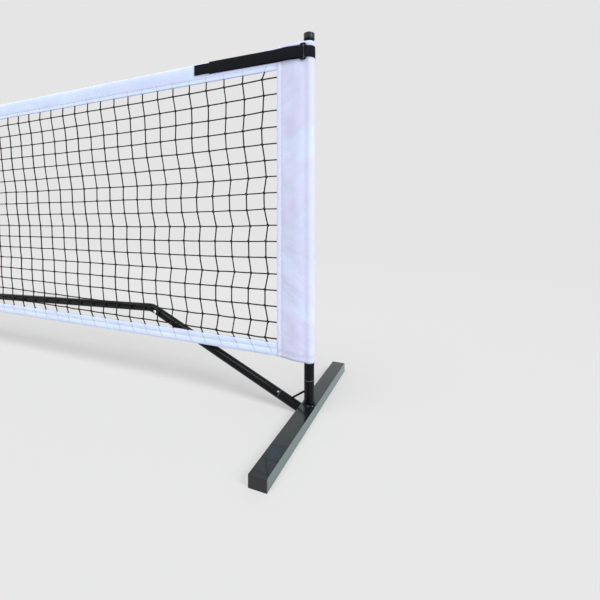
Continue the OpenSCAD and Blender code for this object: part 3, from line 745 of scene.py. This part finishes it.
class COURTNET_OT_twine(bpy.types.Operator):
    """Makes the knotted mesh, one half of the net at a time"""

    bl_idname = "court_net.twine"
    bl_label = "Twine"

    def execute(self, context):
        paint = twine_paint()
        columns = column_places()
        for name, side in SIDES:
            made = self.half(name, side, columns, paint)
            if side > 0:
                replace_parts(made, "net_mesh")
        return {"FINISHED"}

    def half(self, name, side, columns, paint):
        s = sizes()
        grid = [[knot_place(side * x, i, row, side) for row in range(s.rows)]
                for i, x in enumerate(columns)]
        lines = [self.upright(i, knots, side) for i, knots in enumerate(grid)]
        lines += [self.level(grid, row, side) for row in range(s.rows)]
        bm = swept(lines, s.thread / 2, 1)
        shape = self.hard_knot()
        for i, knots in enumerate(grid):
            for row, place in enumerate(knots):
                self.tie(bm, shape, place, i, row)
        bpy.data.meshes.remove(shape)
        return piece(f"net_twine_{name}", bm, paint)

    def bowed(self, a, b, bow):
        """The two points inside a slack stretch between two knots."""
        return [a.lerp(b, 0.33) + bow * 0.9, a.lerp(b, 0.67) + bow * 0.9]

    def upright(self, column, knots, side):
        """One thread from inside the top tape to inside the bottom tape."""
        points = [top_end(column, side, knots[0]), knots[0]]
        for row, (above, knot) in enumerate(zip(knots, knots[1:]), 1):
            bow = Vector((0.0009 * wobble(column * 0.7, row * 1.3, 1.0, 41.0), 0, 0))
            points += self.bowed(above, knot, bow) + [knot]
        return points + [bottom_end(column, side, knots[-1])]

    def level(self, grid, row, side):
        """One thread from inside the side panel to the middle of the net."""
        rows = sizes().rows
        x = side * (PANEL_X + 0.012)
        start = Vector((x, NET_Y, knot_place(x, 0, row, side).z))
        knots = [column[row] for column in grid]
        points = [start, knots[0]]
        loose = 0.0006 + 0.0016 * ramp(row, rows - 4, rows - 1)
        for column, (outer, knot) in enumerate(zip(knots, knots[1:]), 1):
            hang = wobble(column * 1.9, row * 0.8, 1.0, 51.0) - 0.25
            points += self.bowed(outer, knot, Vector((0, 0, loose * hang))) + [knot]
        last = knots[-1]
        mirror = knot_place(-last.x, len(grid) - 1, row, -side)
        return points + [Vector((0, (last.y + mirror.y) / 2, (last.z + mirror.z) / 2))]

    def hard_knot(self):
        """The shape of one small hard knot."""
        bm = bmesh.new()
        bmesh.ops.create_uvsphere(bm, u_segments=7, v_segments=5, radius=sizes().knot / 2)
        return mesh_of("hard_knot", bm)

    def tie(self, bm, shape, place, column, row):
        """Ties a knot at a place, drawn out along one diagonal."""
        turn = math.radians(45 + 25 * wobble(column * 3.1, row * 2.7, 1.0, 61.0))
        drawn = Matrix.Rotation(turn, 4, "Y") @ Matrix.Diagonal((1.2, 0.86, 0.86, 1))
        tied = shape.copy()
        tied.transform(Matrix.Translation(place) @ drawn)
        bm.from_mesh(tied)
        bpy.data.meshes.remove(tied)


# ---- White cloth ----


# Half thickness of the folded tapes over their height, in millimetres
TOP_SECTION = ((0, 2.0), (2, 2.25), (6, 2.3), (9.4, 2.05), (10.5, 1.8), (11.6, 2.1), (15, 2.7),
               (20, 3.3), (27, 4.0), (34, 4.5), (41, 4.7), (46, 4.4), (49.5, 3.7), (52, 2.6),
               (53.5, 1.3), (54, 0))
BOTTOM_SECTION = ((0, 2.0), (2.5, 2.25), (7, 2.3), (11.8, 2.1), (13.5, 1.75), (15.2, 2.1),
                  (19, 2.9), (23, 3.3), (26.5, 3.1), (29.5, 2.3), (31.3, 1.2), (32, 0))
# How far the tapes run on into the side panels, and the share of their thickness there
TAPE_OVERLAP, TIGHT = 0.009, 0.42
# Their uneven thickness, the puckers along their seam and the slump of their faces
SWELL, PUCKER, SLUMP = 0.16, 0.00035, 0.0007


def folded_edge(node, section, edge, closed, seam):
    """A tape folded over the net's edge, from its front edge round to its back
    one. edge(x) is the height of its free edges, and closed is the way that
    its fold points: 1 up, -1 down."""
    path = [(-t / 1000, h / 1000) for h, t in section]
    path += [(t / 1000, h / 1000) for h, t in reversed(section[:-1])]
    runs = walk([(0, y, z) for y, z in path])
    half = PANEL_X + TAPE_OVERLAP
    threads = thread_lines(closed)
    lines = {h: [knot.x + (end.x - knot.x) * abs(edge(end.x) + closed * h - knot.z)
                 / abs(end.z - knot.z) for knot, end in threads] for y, h in path}
    reach = (seam + 0.001, seam + 0.010) if closed > 0 else (0.020, 0.030)

    def place(x, run):
        y, h = path[runs.index(run)]
        tight = TIGHT + (1 - TIGHT) * ramp(PANEL_X - abs(x), -0.001, 0.026)
        swell = 1 + SWELL * wobble(x, 0, 9, 3.0 + closed) + 0.1 * wobble(x, h, 40, 7.0)
        pucker = PUCKER * near(h, seam, 0.006) * wobble(x, 0, 85, 15.0 + closed)
        slump = SLUMP * wobble(x, h * 0.6, 14, 23.0 + (y > 0)) * ramp(h, 0.0, 0.02)
        out = abs(y) * (swell if h > seam else 1) * tight
        if abs(y) > 1e-6:
            out += pucker + slump
        z = edge(x) + closed * h + 0.0005 * wobble(x, 0, 12, 31.0 + closed)
        if y < 0 and closed > 0:
            out = pressed(x, z, out)
        return Vector((x, NET_Y + (-out if y < 0 else out), z))

    def marks(x, run):
        h = path[runs.index(run)][1]
        row = lines[h]
        i = min(max(bisect(row, x), 1), len(row) - 1)
        return i - 1 + (x - row[i - 1]) / (row[i] - row[i - 1]), 1 - ramp(h, *reach)

    stitched = [run for (y, h), run in zip(path, runs) if abs(h - seam) < 1e-4]
    paint = cloth_paint(f"net_{node}_cloth", colours().tape, across=stitched,
                        threads=0.3 if closed > 0 else 0.5)
    bm = cloth_grid(steps(-half, half, 0.006), runs, place, marks)
    made = piece(f"net_{node}", bm, paint)
    thicken(made, sizes().cloth)
    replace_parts(made, node)


def pressed(x, z, out):
    """Half thickness of the top tape, held flat where an end strap lies on it."""
    band = 1 - ramp(abs(z - STRAP_Z), 0.0175, 0.0245)
    under_tail = ramp(abs(x), TAIL_LOW.x - 0.014, TAIL_LOW.x - 0.002) * band
    under_base = ramp(abs(x), BASE_LOW.x - 0.012, BASE_LOW.x - 0.001) * band
    out += (min(out, 0.0030) - out) * under_tail
    return out + (min(out, 0.0019) - out) * under_base


class COURTNET_OT_tapes(bpy.types.Operator):
    """Makes the folded top and bottom tapes"""

    bl_idname = "court_net.tapes"
    bl_label = "Tapes"

    def execute(self, context):
        s = sizes()
        folded_edge("top_tape", TOP_SECTION, lambda x: top_at(x) - s.top_width, 1, s.top_seam)
        folded_edge("bottom_tape", BOTTOM_SECTION, lambda x: bottom_at(x) + s.bottom_width, -1,
                    s.bottom_seam)
        return {"FINISHED"}


# Half thickness of a panel's hem, over the distance from the post's axis, and its seam
HEM_SECTION = ((-79, 1.9), (-77, 2.35), (-70, 2.4), (-68.4, 2.2), (-67.5, 1.8), (-66.6, 1.95),
               (-62, 2.0))
HEM_SEAM = 0.0675
# Depth of a panel's folds, and of the wrinkles along its seam and its lower hem
FOLD, SEAM_WRINKLE, HEM_WRINKLE = 0.0021, 0.0005, 0.0004
# How far the threads pull its hem in
PULL = 0.0009


def arc(radius, first, last, step):
    """Points on a circle about the origin, from one angle towards another."""
    turns = [math.radians(a) for a in range(first, last, step)]
    return [(radius * math.cos(a), radius * math.sin(a)) for a in turns]


def panel_plan():
    """Plan of a side panel at half its height, as seen on the right: from its front
    hem round the post to its back hem, from the post's axis. The lists are in
    millimetres."""
    y = NET_Y * 1000
    front = [(x, y - half) for x, half in HEM_SECTION]
    front += [(-55, y - 2.0), (-48, y - 2.0), (-41, y - 2.0), (-35, y - 2.0), (-30, y - 1.95),
              (-22, -16.2), (-15, -15.4), (-9, -14.75), (-4.5, -14.25)]
    back = [(-15, 2.6), (-20, -3.3), (-25, -8.5), (-29, -12.0), (-32, -12.95), (-38, y + 2.0),
            (-46, y + 2.0), (-54, y + 2.0)]
    back += [(x, y + half) for x, half in reversed(HEM_SECTION)]
    return [(a / 1000, b / 1000) for a, b in front + arc(SLEEVE_R * 1000, -92, 140, 8) + back]


class COURTNET_OT_panels(bpy.types.Operator):
    """Makes the two side panels with their post sleeves"""

    bl_idname = "court_net.panels"
    bl_label = "Side panels"

    def execute(self, context):
        s = sizes()
        high = PANEL_HIGH.z - PANEL_LOW.z
        path = panel_plan()
        runs = walk([(x, y, 0) for x, y in path])
        seams = [run for (x, y), run in zip(path, runs) if abs(x + HEM_SEAM) < 1e-5]
        hems = (s.foot_hem, s.foot_hem + 0.004, high - 0.009)
        paint = cloth_paint("panel_cloth", colours().cloth, across=hems, along=seams,
                            creased=0.65, hem=seams)
        for name, side in SIDES:
            bm = cloth_grid(runs, steps(0, high, 0.005),
                            lambda u, v: self.place(path, runs, high, side, u, v))
            if side < 0:
                bmesh.ops.reverse_faces(bm, faces=bm.faces)
            made = piece(f"net_panel_{name}", bm, paint)
            thicken(made, s.cloth)
            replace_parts(made, f"side_panel_{name}")
        return {"FINISHED"}

    def place(self, path, runs, high, side, u, v):
        s = sizes()
        dx, y = path[runs.index(u)]
        share = max(0.0, -dx / (POST_X - PANEL_X))
        low = PANEL_LOW.z + (s.bottom_post - PANEL_LOW.z) * share
        top = PANEL_HIGH.z + (s.top_post + 0.0025 - PANEL_HIGH.z) * share
        z = low + v / high * (top - low)
        flat = ramp(-dx, 0.012, 0.03) * (1 - ramp(-dx, 0.060, 0.067))
        out = -1 if y < NET_Y else 1
        seed = 5.0 + side + out
        fold = wobble(u * 0.9 + v * 0.75, v * 0.28 - u * 0.4, 16, seed)
        fold += 0.4 * wobble(u - v * 0.5, v, 34, seed + 4)
        held = 1 - 0.85 * near(z, STRAP_Z, 0.03)
        y += out * (FOLD * fold * flat + 0.0006) * held
        y += out * SEAM_WRINKLE * near(-dx, HEM_SEAM, 0.006) * wobble(v, 0, 70, seed + 9)
        foot = near(v, s.foot_hem, 0.008) * flat
        y += out * HEM_WRINKLE * foot * wobble(u, 0, 80, seed + 11)
        rows = (s.top_post - s.top_width - s.first_row - z) / row_pitch()
        pull = PULL * ramp(-dx, 0.066, 0.079) * math.cos(rows * math.tau)
        round_post = 1 - ramp(-dx, -0.004, 0.012)
        bulge = 1 + round_post * (0.022 + 0.03 * wobble(v, u, 7, seed + 13))
        if dx > -0.004:
            dx, y = dx * bulge, y * bulge
        return Vector(((POST_X + dx - pull) * side, y, z))


# ---- Straps ----


HALF_STRAP = 0.0006  # from the middle of a strap's thickness to its face
STRAP_BEND = 0.004  # how far before and after a corner a strap bends
CUP, RIPPLE = 0.00035, 0.00025  # crown across a strap, and its unevenness
# Places across a strap, as shares of its width, close together at its edges
ACROSS_STRAP = (-0.5, -0.47, -0.38, -0.2, 0.0, 0.2, 0.38, 0.47, 0.5)


def strap(name, node, path, paint, side, held, rests_on, body="frame", taper=0.0, hang=0.0):
    """A flat strap on edge along a path in plan, as wide as its node is high.
    side is the side of its path that shows, taper narrows its start, and hang
    lets its end drop."""
    low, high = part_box(node)
    width, height = high.z - low.z, (low.z + high.z) / 2
    route = [(x, y, 0) for x, y in path]
    runs = walk(route)

    def place(u, v):
        at, way = along_path(route, runs, u)
        narrow = 1 - taper * (1 - ramp(u, 0.0, 0.012))
        cup = CUP * (1 - (2 * v / width) ** 2) + RIPPLE * wobble(u, v, 30, 71.0)
        off = Vector((-way.y, way.x, 0)) * cup * side
        drop = hang * (u / runs[-1]) ** 2
        return Vector((at.x, at.y, height + v * narrow - drop)) + off

    bm = cloth_grid(steps(0, runs[-1], 0.0035), [width * share for share in ACROSS_STRAP], place)
    made = piece(name, bm, paint, body)
    thicken(made, sizes().strap, 0.0)
    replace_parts(made, node)
    return made


def rounded(path, turns=5):
    """A path in plan with its corners rounded."""
    points = [Vector(p) for p in path]
    made = [points[0]]
    for before, corner, after in zip(points, points[1:], points[2:]):
        a, b = (corner + (other - corner).normalized()
                * min(STRAP_BEND, (other - corner).length * 0.45) for other in (before, after))
        for i in range(turns + 1):
            t = i / turns
            made.append(a * (1 - t) ** 2 + corner * 2 * t * (1 - t) + b * t * t)
    return [tuple(p) for p in made + [points[-1]]]


# A ring's outer corners, the width of its bars and the corners of its slot
RIM_CORNER, RING_BAR, SLOT_CORNER = 0.0055, 0.0044, 0.0022
# Where the slack strap begins and ceases to stand off, and how far it does
BOW_START, BOW_END, BOW = 0.016, 0.085, 0.0045


def bow(distance):
    """How far the slack strap stands off the panel, at a distance from the post."""
    share = (distance - BOW_START) / (BOW_END - BOW_START)
    return BOW * math.sin(math.pi * share) ** 2 if 0 < share < 1 else 0.0


class COURTNET_OT_straps(bpy.types.Operator):
    """Makes the end straps, their rings and the centre strap"""

    bl_idname = "court_net.straps"
    bl_label = "Straps"

    def execute(self, context):
        loops = webbing_paint("loop_webbing", True)
        plain = webbing_paint("plain_webbing", False)
        plastic = plastic_paint("ring_plastic", 1.0, 0.1)
        for name, side in SIDES:
            self.base(name, side, loops)
            self.loop(name, side, plain)
            self.tail(name, side, plain)
            self.ring(name, side, plastic)
        self.centre(plain)
        return {"FINISHED"}

    def end_strap(self, kind, name, side, path, paint, held, rests_on, **more):
        """An end strap along a path whose x counts from the post's axis."""
        path = [((POST_X + dx) * side, y) for dx, y in path]
        return strap(f"strap_{kind}_band_{name}", f"strap_{kind}_{name}", path, paint, side,
                     held, rests_on, **more)

    def base(self, name, side, paint):
        """The sewn strap, which runs behind the ring's inner bar and turns round it."""
        path = [(-0.0093, -0.0176), (-0.0096, -0.0166), (-0.0106, -0.0160), (-0.0125, -0.0158),
                (-0.0165, -0.0162)]
        path += [(-d, BASE_Y - 0.0003 - 0.6 * bow(d))
                 for d in steps(0.024, POST_X - BASE_LOW.x, 0.004)]
        self.end_strap("base", name, side, path, paint, "stretched", "net_top_tape", taper=0.15)

    def loop(self, name, side, paint):
        """The strap from behind the panel round the post and the ring's outer bar."""
        back = NET_Y + 0.0028
        path = [(-0.063, back), (-0.034, back)] + arc(LOOP_R - HALF_STRAP, 138, -88, -6)
        path = rounded(path[:3])[:-1] + path[2:]
        path += [(-0.0012, -0.0182), (-0.0022, -0.0193), (-0.0036, -0.0197), (-0.0051, -0.0195),
                 (-0.0062, -0.0188), (-0.0066, -0.0176), (-0.0063, -0.0165), (-0.0054, -0.0158)]
        self.end_strap("loop", name, side, path, paint, "stretched", f"net_panel_{name}")

    def tail(self, name, side, paint):
        """The free end, back over the ring's inner bar and along the sewn strap."""
        over, flat = TAIL_LOW.y + HALF_STRAP, BASE_Y - 0.0017
        path = [(-0.0093, -0.0178), (-0.0097, -0.0188), (-0.0107, -0.0195), (-0.0125, over),
                (-0.0155, over), (-0.019, over)]
        path += [(-d, flat + (over - flat) * (1 - ramp(d, 0.019, 0.045)) - bow(d))
                 for d in steps(0.022, POST_X - TAIL_LOW.x, 0.004)]
        made = self.end_strap("tail", name, side, path, paint, "laid",
                              f"strap_base_band_{name}", body=None, hang=0.0012)
        start, end = ((side * (POST_X - away), over, STRAP_Z) for away in (0.0115, 0.020))
        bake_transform(made)
        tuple(start)
        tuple(end)

    def ring(self, name, side, paint):
        """A moulded ring: a thick rounded oblong plate with a slot."""
        wide, high = RING_HIGH.x - RING_LOW.x, RING_HIGH.z - RING_LOW.z
        deep = RING_HIGH.y - RING_LOW.y
        middle = (RING_LOW + RING_HIGH) / 2
        bm = bmesh.new()
        rim = self.oblong(bm, wide, high, RIM_CORNER)
        slot = self.oblong(bm, wide - 2 * RING_BAR, BASE_HIGH.z - BASE_LOW.z - 0.001, SLOT_CORNER)
        bmesh.ops.bridge_loops(bm, edges=rim + slot)
        bmesh.ops.solidify(bm, geom=bm.faces[:], thickness=deep)
        bmesh.ops.recalc_face_normals(bm, faces=bm.faces)
        sharp = [e for e in bm.edges if e.calc_face_angle(0) > 1.0]
        bmesh.ops.bevel(bm, geom=sharp, offset=deep * 0.42, segments=4, profile=0.5,
                        affect="EDGES", material=-1, clamp_overlap=True)
        low = min(v.co.y for v in bm.verts)
        bmesh.ops.translate(bm, verts=bm.verts, vec=(side * middle.x, RING_LOW.y - low, middle.z))
        made = piece(f"strap_ring_moulded_{name}", bm, paint)
        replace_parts(made, f"strap_ring_{name}")

    def oblong(self, bm, wide, high, corner):
        """The edges of an upright oblong with round corners, about the origin."""
        verts = []
        for turn, across, up in ((0, 1, 1), (90, -1, 1), (180, -1, -1), (270, 1, -1)):
            x, z = across * (wide / 2 - corner), up * (high / 2 - corner)
            verts += [bm.verts.new((x + dx, 0, z + dz))
                      for dx, dz in arc(corner, turn, turn + 91, 15)]
        return [bm.edges.new((a, b)) for a, b in zip(verts, verts[1:] + verts[:1])]

    def centre(self, paint):
        """The strap round the centre post and its free end."""
        low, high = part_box("centre_strap")
        r, back = high.y - HALF_STRAP, NET_Y + 0.0035
        path = [(low.x, back), (-r, back)] + arc(r, 180, -1, -6) + [(r, back), (high.x, back)]
        path = rounded(path[:3])[:-1] + path[2:-2] + rounded(path[-3:])[1:]
        strap("centre_strap_band", "centre_strap", path, paint, 1, "stretched", "centre_post")
        low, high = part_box("centre_strap_tail")
        y = (low.y + high.y) / 2 + 0.0006
        strap("centre_strap_end", "centre_strap_tail", [(low.x, y), (high.x, y)], paint, -1,
              "laid", "centre_strap_band", body="centre_strap_tail")


# ---- Cords in the tapes ----


ROPE_LAY = 0.012  # length of one turn of the ropes' strands


class COURTNET_OT_cords(bpy.types.Operator):
    """Makes the laid ropes that run inside the two tapes"""

    bl_idname = "court_net.cords"
    bl_label = "Tape cords"

    def execute(self, context):
        paint = twine_paint()
        for node in ("top_tape_cord", "bottom_tape_cord"):
            low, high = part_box(node)
            radius = (high.y - low.y) / 2
            y = (high.y + low.y) / 2
            end, middle = high.z - radius, low.z + radius
            places = steps(low.x, high.x, 0.004)
            points = [(x, y, middle + (end - middle) * abs(x) / high.x) for x in places]
            shares = [0.97 + 0.03 * math.sin(x * math.tau / ROPE_LAY) for x in places]
            bm = swept([points], radius, 1, shares)
            bmesh.ops.remove_doubles(bm, verts=bm.verts, dist=1e-6)
            bmesh.ops.recalc_face_normals(bm, faces=bm.faces)
            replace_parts(piece(f"net_{node}", bm, paint), node)
        return {"FINISHED"}


# ---- Steel frame ----


STEEL_TUBES = ("foot", "upright_stub", "inclined_stub", "stub_strut", "post", "brace_tube",
               "outer_bar", "middle_bar", "inner_bar", "centre_foot", "centre_stub",
               "bar_sockets", "centre_post")
DIMPLED_BUTTONS = ("elbow_button", "outer_splice_button", "inner_splice_button")
PLASTIC_CAPS = ("foot_caps", "post_cap", "centre_foot_caps", "centre_post_cap")


class COURTNET_OT_steelwork(bpy.types.Operator):
    """Paints the coated tubes, the plastic caps and the spring buttons"""

    bl_idname = "court_net.steelwork"
    bl_label = "Steelwork"

    def execute(self, context):
        c = colours()
        across, up = -math.cos(BRACE_TILT), math.sin(BRACE_TILT)
        start = across * (POST_X - FOOT_HALF) + up * BRACE_FOOT_Z
        coat = coat_paint("powder_coat", c.coat, 0.05, 0.2)
        jointed = coat_paint("jointed_coat", c.coat, 0.05, 0.2, ((0, 1, POST_LOW.z),))
        brace = coat_paint("brace_coat", c.coat, 0.05, 0.2, ((across, up, start + BRACE_JOINT),))
        # The feet's green colour and stronger green specular tint are painted reflection, and so
        # are their lightened side faces
        foot = coat_paint("foot_coat", c.foot, 0.34, 0.35, tint=(0.72, 1.0, 1.0), side_reflection=13.0)
        # The caps' plastic is painted 1.4 times lighter than the rings': painted light standing
        # in for the caps' bright highlights
        plastic = plastic_paint("cap_plastic", 1.4, 0.6)
        steel = steel_paint("spring_steel", 1.0)
        finishes = {kind: coat for kind in STEEL_TUBES}
        finishes |= {kind: plastic for kind in PLASTIC_CAPS}
        finishes |= {"foot": foot, "centre_foot": foot, "post": jointed, "upright_stub": jointed,
                     "brace_tube": brace, "inclined_stub": brace,
                     "stub_button": steel_paint("dull_steel", 0.35)}
        for node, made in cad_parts.items():
            kind = node.removesuffix("_right").removesuffix("_left")
            paint = finishes.get(kind)
            if kind in DIMPLED_BUTTONS:
                paint = self.hollow_shade_paint(node, made)
            elif paint is None and ("button" in kind or "spring" in kind):
                paint = steel
            for slot in made.material_slots if paint else ():
                slot.material = paint
        return {"FINISHED"}

    def hollow_shade_paint(self, node, made):
        """The paint of one button: its steel 1.5 times lighter, painted light for its bright rim,
        with the painted shade of its hollow at the dome's middle.
        """
        low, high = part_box(node)
        tip = low.y if "elbow" in node else high.y
        dome = [v.co for v in made.data.vertices if abs(v.co.y - tip) < 0.0012]
        return steel_paint(f"{node}_steel", 1.5, sum(dome, Vector()) / len(dome))


# ---- Stage ----


GLOW_SPAN = (1.1, 3.0)  # distances over which the floor brightens into the backdrop


class COURTNET_OT_stage(bpy.types.Operator):
    """Sets the floor, the backdrop, the lamps and the camera"""

    bl_idname = "court_net.stage"
    bl_label = "Stage"

    def execute(self, context):
        self.floor()
        self.world()
        self.lamps()
        self.camera()
        return {"FINISHED"}

    def seen(self, tree):
        """1 for rays that show the backdrop: from the eye, or off gloss or glass."""
        rays = tree.nodes.new("ShaderNodeLightPath")
        total = rays.outputs["Is Camera Ray"]
        for name in ("Is Glossy Ray", "Is Transmission Ray"):
            both = tree.nodes.new("ShaderNodeMath")
            both.operation = "ADD"
            both.use_clamp = True
            tree.links.new(total, both.inputs[0])
            tree.links.new(rays.outputs[name], both.inputs[1])
            total = both.outputs[0]
        return total

    def split(self, tree, share, lit, shown, output):
        """Gives a share of the rays the shown shader and the rest the lit one."""
        both = tree.nodes.new("ShaderNodeMixShader")
        for i, socket in enumerate((share, lit, shown)):
            tree.links.new(socket, both.inputs[i])
        tree.links.new(both.outputs["Shader"], tree.nodes[output].inputs["Surface"])

    def floor(self):
        bm = bmesh.new()
        bmesh.ops.create_grid(bm, x_segments=1, y_segments=1, size=60.0)
        made = placed("floor", mesh_of("floor", bm))
        colour = tuple(stage_sizes().backdrop)
        p = Paint("pale_floor", shade(colour, 0.82), 0.9, specular=0.1)
        glow = p.node("ShaderNodeEmission", Color=(*colour, 1), Strength=1.0)
        away = p.node("ShaderNodeVectorMath", operation="LENGTH")
        p.link(p.mapped((0.4, 1, 1)), away.inputs[0])
        far = p.span(away.outputs["Value"], *GLOW_SPAN, 0.45, 1.0)
        share = p.times(self.seen(p.tree), far)
        self.split(p.tree, share, p.shader.outputs["BSDF"], glow.outputs["Emission"],
                   "Material Output")
        made.data.materials.append(p.material)

    def world(self):
        s = stage_sizes()
        world = bpy.data.worlds.new("studio")
        bpy.context.scene.world = world
        world.use_nodes = True
        tree = world.node_tree
        light = tree.nodes["Background"]
        light.inputs["Color"].default_value = (1, 1, 1, 1)
        light.inputs["Strength"].default_value = s.room_light
        shown = tree.nodes.new("ShaderNodeBackground")
        shown.inputs["Color"].default_value = (*s.backdrop, 1)
        shown.inputs["Strength"].default_value = 1.0
        self.split(tree, self.seen(tree), light.outputs["Background"],
                   shown.outputs["Background"], "World Output")

    def lamps(self):
        s = stage_sizes()
        for name, energy, spread, way in (
                ("key", s.key_light, 22, (-0.80, 0.33, -0.66)),
                ("side", s.side_light, 10, (-0.96, 0.26, -0.10)),
                ("top", s.top_light, 34, (0.12, 0.36, -0.92))):
            data = bpy.data.lights.new(name, "SUN")
            data.energy = energy
            data.angle = math.radians(spread)
            lamp = placed(name, data)
            lamp.rotation_euler = Vector(way).to_track_quat("-Z", "Y").to_euler()

    def camera(self):
        s = stage_sizes()
        data = bpy.data.cameras.new("eye")
        data.sensor_width = 36.0
        data.lens = s.lens
        data.shift_y = s.rise
        made = placed("eye", data)
        made.location = tuple(s.eye)
        made.rotation_euler = (math.radians(90), 0, s.heading)
        bpy.context.scene.camera = made
        bpy.context.scene.view_settings.view_transform = "Standard"


# ---- Sidebar ----


OPERATORS = (COURTNET_OT_stage, COURTNET_OT_twine, COURTNET_OT_tapes, COURTNET_OT_cords,
             COURTNET_OT_panels, COURTNET_OT_straps, COURTNET_OT_steelwork)
GROUPS = ((NetSizes, SIZES), (Colours, COLOURS), (StageSizes, STAGE))


class COURTNET_PT_sidebar(bpy.types.Panel):
    """Lists the steps and the sizes and colours that they read"""

    bl_idname = "COURTNET_PT_sidebar"
    bl_label = "Court net"
    bl_space_type = "VIEW_3D"
    bl_region_type = "UI"
    bl_category = "Court net"

    def draw(self, context):
        for step in OPERATORS:
            self.layout.operator(step.bl_idname)
        for kind, name in GROUPS:
            box = self.layout.box()
            box.label(text=kind.__name__)
            group = getattr(context.scene, name)
            for key in kind.__annotations__:
                box.prop(group, key)


def register():
    for kind, name in GROUPS:
        bpy.utils.register_class(kind)
        setattr(bpy.types.Scene, name, PointerProperty(type=kind))
    for kind in (*OPERATORS, COURTNET_PT_sidebar):
        bpy.utils.register_class(kind)


def unregister():
    for kind in reversed((*OPERATORS, COURTNET_PT_sidebar)):
        bpy.utils.unregister_class(kind)
    for kind, name in reversed(GROUPS):
        delattr(bpy.types.Scene, name)
        bpy.utils.unregister_class(kind)


def main():
    register()
    for step in OPERATORS:
        group, name = step.bl_idname.split(".")
        getattr(getattr(bpy.ops, group), name)()


if __name__ == "__main__":
    main()
